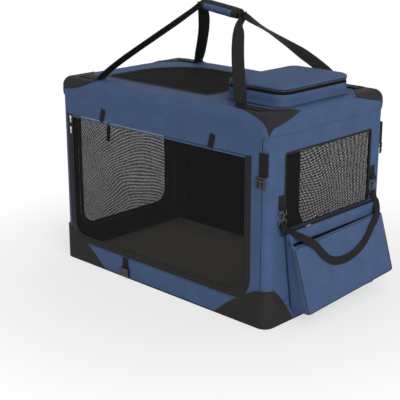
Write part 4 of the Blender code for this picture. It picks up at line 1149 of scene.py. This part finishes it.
def zip_half(end, door, place, body):
    """The wall's half of a door's zip: its tape, its seam lines and its row of teeth."""
    tape = tape_on(
        f"{end}_wall_tape", zip_path(door, 0.0055, 0.004), place, 0.0007, 0.0095, 0.0013, TAPE
    )
    seam = stitches(f"{end}_wall_tape_seam", zip_path(door, 0.0088), place, 0.0015)
    row = teeth(f"{end}_wall_teeth", zip_path(door, 0.0002), place, 0.0012)
    settle(merged(f"{end}_wall_zip", tape, seam, row), body, slot="zip_tape")


def door_leaf(end, door, place, body, nodes):
    """A door: net, the door's zip tape on three sides and a folded hem along its top."""
    tape = tape_on(
        f"{end}_leaf_tape", zip_path(door, -0.0078, -0.001), place, -0.0006, 0.0140, 0.0015, TAPE
    )
    seam = stitches(f"{end}_leaf_seam", zip_path(door, -0.0040, -0.004), place, 0.0004)
    inner = stitches(f"{end}_leaf_inner_seam", zip_path(door, -0.0125, -0.004), place, 0.0004)
    piece = merged(f"{end}_door_tape", tape, seam, inner)
    settle(piece, body, nodes[0], slot="zip_tape", fold=end + "_door")
    left, right, low, high = door
    mesh = net(f"{end}_door_mesh", door_outline((left, right, low, high + 0.004), -0.006), place,
               NET_DEPTH, len(end), NET_TURNS[end])
    top = np.array([(left + 0.001, high - 0.0035), (right - 0.001, high - 0.0035)])
    hem = tape_on(f"{end}_door_hem", top, place, -0.0012, 0.0060, 0.0018, OXFORD)
    settle(merged(f"{end}_door_mesh", mesh, hem), body, nodes[1], slot="black_net",
           fold=end + "_door")


class CRATE_OT_front_door(bpy.types.Operator):
    """Builds the long front door."""

    bl_idname = "dog_crate.front_door"
    bl_label = "Front Door"

    def execute(self, context):
        door_leaf("front", FRONT_DOOR, on_front, "front_door",
                  ("front_door_zip", "front_door_net"))
        return {"FINISHED"}


class CRATE_OT_back_wall(bpy.types.Operator):
    """Builds the back wall and its net window."""

    bl_idname = "dog_crate.back_wall"
    bl_label = "Back Wall"

    def execute(self, context):
        long_wall("back", door_outline(BACK_WINDOW), on_back, 12)
        window("back", lambda grow: door_outline(BACK_WINDOW, grow), on_back, "back_wall_body",
               "back_window_net")
        return {"FINISHED"}


def window(end, outline, place, body, node):
    """A sewn-in net window: the net, a bound edge and its seam; outline takes a margin."""
    mesh = net(f"{end}_window_mesh", outline(-0.0006), place, NET_DEPTH, 2 * len(end),
               NET_TURNS[end])
    settle(mesh, body, node, slot="black_net")
    edge = tape_on(
        f"{end}_window_binding", outline(0.0015), place, 0.0004, 0.0075, 0.0012, TAPE, 0.005, True
    )
    seam = stitches(f"{end}_window_seam", outline(0.0036), place, 0.0012, True)
    settle(merged(f"{end}_window_binding", edge, seam), body, slot="zip_tape")


def end_cloth(name, sign_x, hole, body, node, seed):
    """An end wall that wraps round both corners; its foot rises where it folds into the tray."""
    flat = SLEEVE_Y - CORNER_R
    reach = flat + ROLL
    low, high = WALL_FOOT, RIM_Z - 0.0010
    outline = np.array([
        (-flat, low), (flat, low), (reach, low + SLEEVE_RISE),
        (reach, high), (-reach, high), (-reach, low + SLEEVE_RISE),
    ])
    wall = cloth(
        name, [outline, hole], on_end(sign_x), LINED, depth=0.0012, seed=seed, pucker=0.0003
    )
    settle(wall, body, node, slot="navy_oxford")
    for side in (-1, 1):
        edge = side * (reach - 0.003)
        path = [(edge, low + SLEEVE_RISE + 0.002), (edge, high - 0.002)]
        cord = piping(f"{name}_corner_cord_{side}", path, on_end(sign_x), -0.0002, 0.0012,
                      TAPE, closed=False)
        settle(cord, body, slot="zip_tape")


class CRATE_OT_left_end(bpy.types.Operator):
    """Builds the left end wall and its door."""

    bl_idname = "dog_crate.left_end"
    bl_label = "Left End"

    def execute(self, context):
        end_cloth("left_end_cloth", -1, door_outline(LEFT_DOOR, LEAF_GAP), "left_frame",
                  "left_end_panel", 13)
        zip_half("left", LEFT_DOOR, on_end(-1), "left_frame")
        door_leaf("left", LEFT_DOOR, on_end(-1), "left_door", ("left_door_zip", "left_door_net"))
        return {"FINISHED"}


def looped_band(name, path, y):
    """Webbing along a path of (x, height) at one y."""
    path = along(path, 0.0018)
    points = np.column_stack([path[:, 0], np.full(len(path), y), path[:, 1]])
    ups = np.cross(np.gradient(points, axis=0), (0.0, 1.0, 0.0))
    return strip(name, points, ups, TAB_W, 0.0016, WEBBING, smooth=60)


class CRATE_OT_right_end(bpy.types.Operator):
    """Builds the right end wall, its window, the buckles' webbing and the bag's tabs."""

    bl_idname = "dog_crate.right_end"
    bl_label = "Right End"

    def execute(self, context):
        end_cloth("right_end_cloth", 1, box_outline(RIGHT_WINDOW), "right_frame",
                  "right_end_panel", 14)
        window("right", lambda grow: box_outline(RIGHT_WINDOW, 0.004, grow), on_end(1),
               "right_frame", "right_window_net")
        for sign_y, side in SIDES:
            self.buckle_webbing(side, sign_y)
            self.ring_tab(side, sign_y)
        return {"FINISHED"}

    def buckle_webbing(self, side, sign_y):
        low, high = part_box(f"buckle_strap_{side}")
        x = (low.x + high.x) / 2
        face = HALF_W + 0.0003 + WEB_T / 2
        z = np.linspace(high.z, low.z - 0.006, 14)
        lift = 0.0006 * np.sin((high.z - z) / 0.03)
        points = np.column_stack([0 * z + x, sign_y * (face + lift), z])
        band = strip("band", points, (0, sign_y, 0), TAB_W, WEB_T, WEBBING)
        depth = min(abs(low.y), abs(high.y))
        turn = np.array([
            (high.x - 0.0009, sign_y * depth), (high.x - 0.0009, sign_y * (HALF_W + 0.0010)),
        ])
        middle = (high.z + low.z) / 2
        points = np.column_stack([turn, [middle, middle]])
        root = strip("root", points, (1, 0, 0), high.z - low.z, WEB_T, WEBBING)
        settle(merged(f"buckle_webbing_{side}", band, root), "right_frame",
               f"buckle_strap_{side}", slot="black_webbing")

    def ring_tab(self, side, sign_y):
        """Webbing sewn to the wall and turned round the ring's upper bar."""
        y = sign_y * RING_Y
        wrap = 0.0030
        back_x = HALF_L + 0.0003 + WEB_T / 2
        path = [(back_x, RING_TOP_Z + 0.040), (back_x, RING_TOP_Z + 0.012)]
        for k in range(15):
            angle = math.radians(160 + 270 * k / 14)
            path.append((RING_X + wrap * math.cos(angle), RING_TOP_Z + wrap * math.sin(angle)))
        path.append((back_x + WEB_T + 0.0004, RING_TOP_Z + 0.014))
        tab = looped_band("tab", path, y)
        box = box_outline((y - 0.009, y + 0.009, RING_TOP_Z + 0.018, RING_TOP_Z + 0.036))
        sewn = stitches("sewn", box, on_end(1), 0.0023, True)
        settle(merged(f"ring_webbing_{side}", tab, sewn), "right_frame", f"bag_tab_{side}",
               slot="black_webbing")


class CRATE_OT_roof(bpy.types.Operator):
    """Builds the roof with its rolled edges, its sunroof and its corner patches."""

    bl_idname = "dog_crate.roof"
    bl_label = "Roof"

    def execute(self, context):
        reach = ROLL + HEIGHT - CORNER_R - RIM_Z + HEM
        flat_x, flat_y = HALF_L - CORNER_R, HALF_W - CORNER_R
        outline = box_outline((
            -flat_x - reach, flat_x + reach, -flat_y - reach, flat_y + reach,
        ), reach, steps=16)

        def sag(uv):
            x, y = uv.T
            bowl = np.clip(1 - (x / flat_x) ** 2, 0, 1) * np.clip(1 - (y / flat_y) ** 2, 0, 1)
            return -0.0034 * bowl

        roof = cloth(
            "roof_cloth", [outline, sunroof_outline(0.001)], on_roof,
            LINED, depth=sizes().waviness, seed=21, out=-0.0001,
            pucker=0.0003, sag=sag,
        )
        settle(roof, "top", "roof", slot="navy_oxford", fold="roof")

        def low_roof(points, out=0.0):
            points = np.asarray(points, float)
            return on_roof(points, sag(points) + out)

        mesh = net("sunroof_mesh", sunroof_outline(-0.0015), low_roof, -0.0030)
        edge = tape_on("edge", sunroof_outline(0.0030), low_roof, 0.0002, 0.0085, 0.0013,
                       TAPE, 0.005, True)
        row = teeth("row", sunroof_outline(-0.0005), low_roof, 0.0002)
        seam = stitches("seam", sunroof_outline(0.0058), low_roof, 0.0010, True)
        settle(mesh, "top", "sunroof_net", slot="black_net", fold="roof")
        settle(merged("sunroof_binding", edge, row, seam), "top", slot="zip_tape", fold="roof")
        for sign_x, end in ENDS:
            for sign_y, side in SIDES:
                self.patch(f"top_patch_{end}_{side}", sign_x, sign_y)
        return {"FINISHED"}

    def patch(self, node, sign_x, sign_y):
        """A three-pointed patch: one tip down the corner, one along each roof edge."""
        corner = Vector((HALF_L - CORNER_R, HALF_W - CORNER_R))
        drop = ROLL + 0.029
        tip = corner + Vector((drop, drop)) * 0.7071
        ends = (Vector((HALF_L - (0.160 if sign_x < 0 else 0.115), corner.y + 0.004)),
                Vector((corner.x + 0.020, HALF_W - 0.146)))
        pulls = (corner + Vector((-0.085, 0.060) if sign_x < 0 else (-0.015, 0.0245)),
                 corner + Vector((0.051, -0.024)))
        hollow = Vector((HALF_L - 0.050, HALF_W - 0.095))

        def curve(a, b, c, count):
            return [a * (1 - s) ** 2 + b * 2 * s * (1 - s) + c * s ** 2
                    for s in (k / count for k in range(count))]

        loop = curve(ends[0], pulls[0], tip, 14) + curve(tip, pulls[1], ends[1], 14)
        loop += curve(ends[1], hollow, ends[0], 14)
        loop = np.array([(sign_x * p.x, sign_y * p.y) for p in loop])
        if sign_x * sign_y > 0:
            loop = loop[::-1]
        name = node.replace("top", "corner")
        patch = cloth(name, [loop], on_roof, [PATCH], PATCH_T, 0.006, out=0.0014)
        middle = loop.mean(axis=0)
        inner = middle + (loop - middle) * 0.90
        seam = stitches("seam", inner, on_roof, 0.0016, True)
        settle(merged(name, patch, seam), "top", node, slot="charcoal_patch", fold="roof")


def pouch_loop(grow, z):
    left, right, front, back = POUCH
    box = (left - grow, right + grow, front - grow, back + grow)
    even = even_loop(box_outline(box, POUCH_R + grow, steps=10), 160)
    return np.column_stack([even, np.full(len(even), z)])


class CRATE_OT_pouch(bpy.types.Operator):
    """Builds the roof's pouch: its sewn wall, the domed lid and the zip between them."""

    bl_idname = "dog_crate.pouch"
    bl_label = "Roof Pouch"

    def execute(self, context):
        foot, rim = HEIGHT + 0.0006, POUCH_RIM
        rings = [pouch_loop(grow, z) for grow, z in (
            (0.0095, foot), (0.0098, foot + 0.0010), (0.006, foot + 0.0022),
            (0.0025, foot + 0.0030), (0.0010, foot + 0.0070), (0.0020, foot + 0.0150),
            (0.0026, foot + 0.0240), (0.0014, foot + 0.0340), (-0.0002, rim - 0.0003),
            (-0.0018, rim - 0.0003), (-0.0008, rim - 0.0150), (-0.0014, foot + 0.0040),
            (-0.0020, foot),
        )]
        rings.append(rings[0])
        wall = lofted("pouch_wall", rings, LINED, [0] * 7 + [1] * 6, caps=(False, False))
        seam = stitches("seam", pouch_loop(0.0062, 0.0)[:, :2], on_roof, 0.0036, True)
        settle(merged("pouch_wall", outwards(wall, True), seam), "top", "pouch_body",
               slot="navy_oxford", fold="roof")
        self.lid()
        return {"FINISHED"}

    def lid(self):
        middle = np.array([(POUCH[0] + POUCH[1]) / 2, (POUCH[2] + POUCH[3]) / 2, 0])
        rings = [pouch_loop(grow, z) for grow, z in (
            (-0.0012, LID_LOW), (0.0006, LID_LOW + 0.0004), (0.0010, LID_LOW + 0.0029),
            (0.0006, LID_Z - 0.0006), (0.0018, LID_Z + 0.0004), (0.0026, LID_Z + 0.0030),
        )]
        marks = [1, 1, 1, 1, 0]
        for k in range(1, 8):
            turn = math.pi / 2 * k / 7
            z = LID_Z + 0.0030 + 0.0100 * math.sin(turn)
            rings.append(pouch_loop(0.0026 - 0.032 * (1 - math.cos(turn)), z))
            marks.append(0)
        edge = rings[-1]
        for share in (0.8, 0.6, 0.4, 0.2, 0.05):
            rise = 0.0205 - 0.0080 * share ** 2
            ring = middle + (edge - middle) * share
            soft = 0.0012 * waves(ring[:, 0], ring[:, 1], 0.11, 31)
            ring[:, 2] = LID_Z + rise + soft - 0.001
            rings.append(ring)
            marks.append(0)
        lid = lofted("pouch_cover", rings, [OXFORD, TAPE], marks,
                     caps=(False, True), smooth=50)
        thickened(outwards(lid, dome=True), 0.0016)

        def on_band(points, out=0.0):
            points = np.asarray(points, float)
            away = points - middle[:2]
            away /= np.linalg.norm(away, axis=1)[:, None]
            flat = points + away * np.reshape(out, (-1, 1))
            return np.column_stack([flat, np.full(len(points), LID_LOW + 0.0031)])

        row = teeth("row", pouch_loop(0.0013, 0)[:, :2], on_band, 0.0)
        settle(merged("pouch_cover", lid, row), "lid", "pouch_lid", slot="navy_oxford",
               fold="roof")


def smooth_path(points, step):
    """A Catmull-Rom curve through points, evenly spaced."""
    points = np.asarray(points, float)
    padded = np.vstack([2 * points[0] - points[1], points, 2 * points[-1] - points[-2]])
    out = []
    for i in range(1, len(padded) - 2):
        p0, p1, p2, p3 = padded[i - 1:i + 3]
        for t in np.linspace(0, 1, 8, endpoint=False):
            out.append(0.5 * (
                2 * p1 + (p2 - p0) * t + (2 * p0 - 5 * p1 + 4 * p2 - p3) * t ** 2
                + (3 * p1 - p0 - 3 * p2 + p3) * t ** 3
            ))
    out.append(padded[-2])
    return along(out, step)


class CRATE_OT_handle(bpy.types.Operator):
    """Builds the two carrying straps and the padded grip that gathers them."""

    bl_idname = "dog_crate.handle"
    bl_label = "Carrying Handle"

    def execute(self, context):
        self.strap("front", -1, 0.0)
        self.strap("back", 1, 0.0028)
        self.grip()
        return {"FINISHED"}

    def half(self, side, end, lift):
        run_x = GRIP_X + end * (GRIP_L / 2 + 0.012 + lift)
        root, bend = end * STRAP_ROOT, end * STRAP_BEND
        rows = [
            (root, side * STRAP_Y, STRAP_Z, 0, 1, 1),
            ((root + bend) / 2, side * STRAP_Y, STRAP_Z, 0, 1, 1),
            (bend, side * STRAP_Y, STRAP_Z, 0, 1, 1),
        ]
        at, turns = STRAP_TURNS[side, end]
        for k in range(1, STRAP_STEPS):
            s = (k / STRAP_STEPS) ** STRAP_CROWDING
            x = bend + (run_x - bend) * (0.25 * ease(s) + 0.75 * s)
            twist = math.radians(np.interp(s, at, turns))
            rows.append((
                x, side * STRAP_Y * (1 - s ** STRAP_BOW),
                STRAP_Z + (GRIP_Z + lift - STRAP_Z) * s - GRIP_TILT * (x - GRIP_X) * s ** 3,
                -end * side * math.sin(twist), math.cos(twist), 1 - 0.20 * ease(4 * s - 3),
            ))
        for x in (run_x, GRIP_X + end * GRIP_L / 2):
            rows.append((x, 0, GRIP_Z + lift - GRIP_TILT * (x - GRIP_X), 0, 1, 0.75))
        return rows

    def strap(self, side, sign, lift):
        rows = self.half(sign, 1, lift) + self.half(sign, -1, lift)[::-1]
        path = smooth_path(rows, 0.006)
        points, widths = path[:, :3], np.column_stack([path[:, 3:5], 0 * path[:, 0]])
        tangents = np.gradient(points, axis=0)
        ups = np.cross(widths, tangents)
        ups *= np.sign(ups[:, 2:3] + 1e-9)
        band = strip("band", points, ups, STRAP_W * path[:, 5], 0.0026, WEBBING)
        parts = [band]
        for end in (-1, 1):
            x0, x1 = sorted((end * (STRAP_ROOT - 0.006), end * (STRAP_BEND + 0.026)))
            y = sign * STRAP_Y
            box = box_outline((x0, x1, y - SEWN_HALF, y + SEWN_HALF))
            out = STRAP_Z + 0.0014 - HEIGHT
            parts.append(stitches("sewn", box, on_roof, out, True))
            for rise in (SEWN_HALF, -SEWN_HALF):
                cross = [(x0, y - rise), (x1, y + rise)]
                parts.append(stitches("sewn", cross, on_roof, out))
        settle(merged(f"handle_webbing_{side}", *parts), "top", f"handle_strap_{side}",
               slot="black_webbing", fold="handle")

    def grip(self):
        """A padded cloth sleeve with a bound cuff at each end and a seam under it."""
        mid_z = GRIP_Z + 0.0014
        half = GRIP_L / 2
        sides = 40
        stations = [
            (-half, 0.50, 1), (-half, 0.80, 1), (-half + 0.0006, 0.90, 1),
            (-half + 0.003, 0.935, 1), (-half + 0.014, 0.945, 1), (-half + 0.0155, 0.93, 1),
            (-half + 0.0165, 0.935, 0), (-half + 0.020, 0.985, 0), (-half + 0.030, 1.0, 0),
            (-half + 0.050, 0.985, 0), (-0.012, 1.0, 0),
        ]
        stations += [(-x, grow, mark) for x, grow, mark in stations[::-1]]
        rings, marks = [], []
        angle = np.arange(sides) * 2 * math.pi / sides
        for x, grow, mark in stations:
            soft = 1 + 0.012 * waves(angle * 0.02, angle * 0 + x, 0.045, 41) * (mark == 0)
            pinch = 1 - 0.05 * np.exp(-((angle - 1.5 * math.pi) / 0.14) ** 2)
            y = 0.026 * grow * np.cos(angle) * soft
            z = 0.017 * grow * np.sin(angle) * soft * pinch
            rings.append(np.column_stack([
                GRIP_X + x + GRIP_TILT * z, y, mid_z + z - GRIP_TILT * x,
            ]))
            marks.append(mark)
        marks = [max(a, b) for a, b in zip(marks, marks[1:])]
        grip = lofted("padded_grip", rings, [OXFORD, TAPE], marks,
                      smooth=60)
        for face in grip.data.polygons:
            x, y, z = face.center
            high = z - mid_z + GRIP_TILT * (x - GRIP_X)
            if high > 0.0105 and y > -0.022:
                face.material_index = 1
        settle(grip, "top", "handle_grip", slot="navy_oxford", fold="handle")


def on_bag(depth, across, height, pull=0.0):
    """A place on the bag, from shares of its depth (0 at the wall), width and height."""
    rim = ease((depth - 0.35) / 0.6)
    deep = BAG_DEEP + (BAG_RIM_DEEP - BAG_DEEP) * height
    y = across * BAG_W + 0.040 - 0.036 * height
    low = BAG_LOW + 0.055 * (y - 0.040)
    top = BAG_TOP + (BAG_RIM - BAG_TOP + 0.030 * y) * rim
    middle = 4 * height * (1 - height) * np.clip(1 - (2 * across) ** 2, 0, 1)
    soft = middle * (0.004 + 0.0022 * waves(y, low * 0 + 0.25 * height, 0.13, 51))
    x = BAG_X + depth * deep + ease((depth - 0.5) / 0.5) * soft + pull
    return np.stack(np.broadcast_arrays(x, y, low + (top - low) * height), axis=-1)


class CRATE_OT_bag(bpy.types.Operator):
    """Builds the clip-on bag: its slack shell, zip, ears and webbing handle."""

    bl_idname = "dog_crate.bag"
    bl_label = "Clip-on Bag"

    def execute(self, context):
        def ring(height, inset=0.0, radius=0.007):
            deep = BAG_DEEP + (BAG_RIM_DEEP - BAG_DEEP) * height
            box = (inset, deep - inset, -BAG_W / 2 + inset, BAG_W / 2 - inset)
            x, y = even_loop(box_outline(box, radius, steps=8), 180).T
            return on_bag(x / deep, y / BAG_W, height)

        rings = [ring(0, 0.008, 0.004), ring(0, 0.003), ring(0.012, 0.0008), ring(0.03)]
        rings += [ring(height) for height in np.linspace(0.08, 0.92, 15)]
        rings += [ring(0.965), ring(0.985, 0.0012), ring(1, 0.0035)]
        marks = [0] * len(rings)
        # Behind the rim a crease, whose lowest bands take the black lining look as painted shade,
        # then the inner face up to the zip
        for front, z, look in ((0.0300, 0.249, 0), (0.0262, 0.240, 1), (0.0245, 0.243, 1),
                               (0.0235, 0.255, 0), (0.0225, 0.2885, 0), (0.0205, 0.2902, 0)):
            inner = ring(1, 0.0040)
            share = np.clip((inner[:, 0] - BAG_X) / (BAG_RIM_DEEP - 0.004), 0, 1)
            inner[:, 0] = BAG_X + 0.002 + share * (front - 0.002)
            inner[:, 2] = BAG_TOP + ease((share - 0.45) / 0.3) * (z - BAG_TOP)
            rings.append(inner)
            marks.append(look)
        shell = lofted("bag_cloth", rings, LINED, marks,
                       smooth=50)
        tape = self.zip_tape()
        ears = [self.ear(side) for side in (-1, 1)]
        settle(merged("bag_cloth", shell, self.edging()), "bag", "bag_shell",
               slot="navy_oxford")
        settle(tape, "bag", slot="zip_tape")
        settle(merged("bag_ears", *ears), "bag", slot="black_webbing")
        self.handle()
        return {"FINISHED"}

    def edging(self):
        """Corded seams round the bag's front panel."""
        def on_front_panel(points, out=0.0):
            across = points[:, 0] / BAG_W
            return on_bag(0.985, across, points[:, 1] / BAG_TOP, out)

        half = BAG_W / 2 - 0.0015
        loop = rounded([(-half, 0.004, 0.010), (half, 0.004, 0.010),
                        (half, BAG_TOP - 0.004, 0.010), (-half, BAG_TOP - 0.004, 0.010)], 6)
        return piping("edging", loop, on_front_panel, 0.0004, 0.0014, THREAD)

    def zip_tape(self):
        y = np.linspace(-BAG_W / 2 + 0.018, BAG_W / 2 - 0.010, 60)
        points = np.column_stack([0 * y + BAG_X + 0.0115, y, 0 * y + BAG_TOP])
        tape = strip("tape", points, (0, 0, 1), 0.0150, 0.0010, TAPE)
        ups = np.tile((0, 0, 1), (len(y), 1))
        row = coil("row", points + (0, 0, 0.0006), ups, 0.0036, 0.0012, 0.0006)
        return merged("bag_zip", tape, row)

    def ear(self, side):
        """Webbing from the bag's top corner up round the snap hook's eye."""
        wrap = 0.0032
        foot_x = BAG_X + 0.012
        path = [(foot_x, BAG_TOP - 0.006), (foot_x, BAG_TOP + 0.010)]
        for k in range(13):
            angle = math.radians(-20 + 220 * k / 12)
            path.append((RING_X + wrap * math.cos(angle), EYE_Z + wrap * math.sin(angle)))
        path.append((RING_X - 0.0005, EYE_Z - 0.010))
        return looped_band("ear", path, side * RING_Y)

    def handle(self):
        """A webbing loop that sags down the bag's front from its two top corners."""
        route = [(-0.150, 0.256), (-0.122, 0.236), (-0.094, 0.205), (-0.062, 0.180),
                 (-0.020, 0.166), (0.036, 0.166), (0.087, 0.180), (0.128, 0.203),
                 (0.158, 0.230), (0.184, 0.252)]
        rows = [
            (BAG_X + 0.008, -0.214, 0.2960, 0.5, 0.9),
            (BAG_X + 0.018, -0.203, 0.2935, 0.5, 0.9),
            (BAG_X + 0.034, -0.178, 0.2750, 0.8, 0.6),
        ]
        for y, z in route:
            x = float(on_bag(1.0, y / BAG_W, min(z / BAG_TOP, 0.97))[0])
            rows.append((x + 0.0030, y, z, 0.97, 0.2))
        rows += [
            (BAG_X + 0.034, 0.206, 0.2740, 0.8, 0.6),
            (BAG_X + 0.020, 0.217, 0.2930, 0.5, 0.9),
            (BAG_X + 0.009, 0.2215, 0.3000, 0.5, 0.9),
        ]
        path = smooth_path(rows, 0.005)
        ups = np.column_stack([path[:, 3], 0 * path[:, 0], path[:, 4]])
        band = strip("bag_handle_webbing", path[:, :3], ups, TAB_W, 0.0018,
                     WEBBING)
        settle(band, "bag", "bag_handle", slot="black_webbing")


class CRATE_OT_hardware(bpy.types.Operator):
    """Gives the frame's steel, the hinges, the buckles, rings, hooks and pulls their finish."""

    bl_idname = "dog_crate.hardware"
    bl_label = "Hardware"

    def execute(self, context):
        for row in frame["record"]["subparts"]:
            look = HARDWARE_LOOKS.get(row["material_slot"])
            if row["node"].startswith(("bag_ring", "snap_hook")):
                look = "gunmetal_plating"
            if not look:
                continue
            slots = bpy.data.objects[row["node"]].data.materials
            for i in range(len(slots)):
                slots[i] = material_of(look)
            if not slots:
                slots.append(material_of(look))
        for sign_y, side in SIDES:
            self.socket_webbing(side, sign_y)
        return {"FINISHED"}

    def socket_webbing(self, side, sign_y):
        """The tray's webbing above each socket, sewn at its upper end."""
        low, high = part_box(f"buckle_socket_{side}")
        x = (low.x + high.x) / 2
        z = np.linspace(0.030, high.z + 0.001, 10)
        points = np.column_stack([0 * z + x, sign_y * (HALF_W + 0.0020) + 0 * z, z])
        band = strip("band", points, (0, sign_y, 0), 0.0262, 0.0024, WEBBING)
        settle(band, "base", slot="black_webbing")
        band.name = f"socket_webbing_{side}"


class CRATE_OT_stage(bpy.types.Operator):
    """Builds the pale floor, the light and the camera."""

    bl_idname = "dog_crate.stage"
    bl_label = "Stage"

    def execute(self, context):
        scene = context.scene
        stage = scene.dog_crate_stage
        scene.view_settings.view_transform = "Standard"
        bpy.ops.mesh.primitive_circle_add(
            vertices=96, radius=2.2, fill_type="NGON", location=(0, 0, -0.0006)
        )
        floor = context.object
        floor.name = "studio_floor"
        bpy.ops.object.transform_apply(location=True, rotation=True, scale=True)
        look, tree, shader = new_material("matt_floor", stage.floor, 0.9)
        shader.inputs["Specular IOR Level"].default_value = 0.0
        coords = add_node(tree, "ShaderNodeTexCoord").outputs["Object"]
        tree.links.new(mottled(tree, coords, stage.floor, 0.004, 2.0),
                       shader.inputs["Base Color"])
        self.fade_out(tree, coords, shader)
        floor.data.materials.append(look)
        world = bpy.data.worlds.new("studio") if scene.world is None else scene.world
        scene.world = world
        world.use_nodes = True
        tree = world.node_tree
        tree.nodes.clear()
        light, plain = (
            add_node(tree, "ShaderNodeBackground", Color=(1, 1, 1, 1), Strength=strength).outputs[0]
            for strength in (stage.sky, 1.0)
        )
        both = add_node(
            tree, "ShaderNodeMixShader", {0: self.seen_directly(tree), 1: light, 2: plain},
        )
        add_node(tree, "ShaderNodeOutputWorld", {0: both.outputs[0]})
        self.sun(stage.sun)
        self.camera(scene)
        return {"FINISHED"}

    def seen_directly(self, tree):
        """1 on the rays that see the backdrop as it is, straight or in metal and glass."""
        rays = add_node(tree, "ShaderNodeLightPath").outputs
        seen = rays["Is Camera Ray"]
        for kind in ("Is Glossy Ray", "Is Transmission Ray"):
            links = {0: seen, 1: rays[kind]}
            seen = add_node(tree, "ShaderNodeMath", links, operation="MAXIMUM").outputs[0]
        return seen

    def fade_out(self, tree, coords, shader):
        """Beyond the crate's shadow the floor turns into the white backdrop."""
        reach = add_node(tree, "ShaderNodeVectorMath", {0: coords}, operation="LENGTH")
        fade = add_node(
            tree, "ShaderNodeMapRange", {"Value": reach.outputs["Value"]},
            interpolation_type="SMOOTHSTEP", From_Min=0.50, From_Max=1.20, To_Min=0.60,
        )
        share = add_node(
            tree, "ShaderNodeMath", {0: fade.outputs[0], 1: self.seen_directly(tree)},
            operation="MULTIPLY",
        )
        white = add_node(tree, "ShaderNodeEmission", Color=(1, 1, 1, 1), Strength=1.0)
        both = add_node(
            tree, "ShaderNodeMixShader",
            {0: share.outputs[0], 1: shader.outputs[0], 2: white.outputs[0]},
        )
        tree.links.new(both.outputs[0], tree.nodes["Material Output"].inputs["Surface"])

    def sun(self, strength):
        data = bpy.data.lights.new("softbox", "SUN")
        data.angle = math.radians(LAMP_DEGREES)
        data.energy = strength
        obj = bpy.data.objects.new("softbox", data)
        bpy.context.scene.collection.objects.link(obj)
        obj.location = LAMP_PLACE
        obj.rotation_euler = (-Vector(LAMP_PLACE)).to_track_quat("-Z", "Y").to_euler()

    def camera(self, scene):
        """The photograph's view."""
        level = math.cos(CAMERA_ELEVATION)
        back = Vector((
            math.sin(CAMERA_AZIMUTH) * level, -math.cos(CAMERA_AZIMUTH) * level,
            math.sin(CAMERA_ELEVATION),
        ))
        right = Vector((0, 0, 1)).cross(back).normalized()
        up = back.cross(right)
        c, s = math.cos(CAMERA_ROLL), math.sin(CAMERA_ROLL)
        right, up = right * c + up * s, up * c - right * s
        place = Vector(CENTRE) - right * CAMERA_SHIFT[0] - up * CAMERA_SHIFT[1]
        place += back * CAMERA_DISTANCE
        data = bpy.data.cameras.new("photo_camera")
        data.sensor_width = SENSOR_MM
        data.lens = FOCAL_PIXELS / PICTURE_PIXELS * SENSOR_MM
        data.clip_end = 100
        obj = bpy.data.objects.new("photo_camera", data)
        scene.collection.objects.link(obj)
        turn = Matrix((right, up, back)).transposed().to_4x4()
        obj.matrix_world = Matrix.Translation(place) @ turn
        scene.camera = obj


OPERATORS = (
    CRATE_OT_stage, CRATE_OT_tray, CRATE_OT_mat, CRATE_OT_front_wall, CRATE_OT_front_door,
    CRATE_OT_back_wall, CRATE_OT_left_end, CRATE_OT_right_end, CRATE_OT_roof, CRATE_OT_pouch,
    CRATE_OT_handle, CRATE_OT_bag, CRATE_OT_hardware,
)


class CRATE_PT_panel(bpy.types.Panel):
    """Lists the crate's pieces and their settings."""

    bl_idname = "CRATE_PT_panel"
    bl_label = "Dog Crate"
    bl_space_type = "VIEW_3D"
    bl_region_type = "UI"
    bl_category = "Dog Crate"

    def draw(self, context):
        column = self.layout.column()
        for group in ("dog_crate_sizes", "dog_crate_colours", "dog_crate_stage"):
            settings = getattr(context.scene, group)
            for key in settings.bl_rna.properties.keys():
                if key not in ("rna_type", "name"):
                    column.prop(settings, key)
        for operator in OPERATORS:
            column.operator(operator.bl_idname)


GROUPS = (
    ("dog_crate_sizes", CrateSizes),
    ("dog_crate_colours", CrateColours),
    ("dog_crate_stage", CrateStage),
)


def register():
    for name, group in GROUPS:
        bpy.utils.register_class(group)
        setattr(bpy.types.Scene, name, bpy.props.PointerProperty(type=group))
    for operator in OPERATORS:
        bpy.utils.register_class(operator)
    bpy.utils.register_class(CRATE_PT_panel)


def unregister():
    bpy.utils.unregister_class(CRATE_PT_panel)
    for operator in reversed(OPERATORS):
        bpy.utils.unregister_class(operator)
    for name, group in reversed(GROUPS):
        delattr(bpy.types.Scene, name)
        bpy.utils.unregister_class(group)


def main():
    register()
    for operator in OPERATORS:
        group, name = operator.bl_idname.split(".")
        getattr(getattr(bpy.ops, group), name)()


if __name__ == "__main__":
    main()
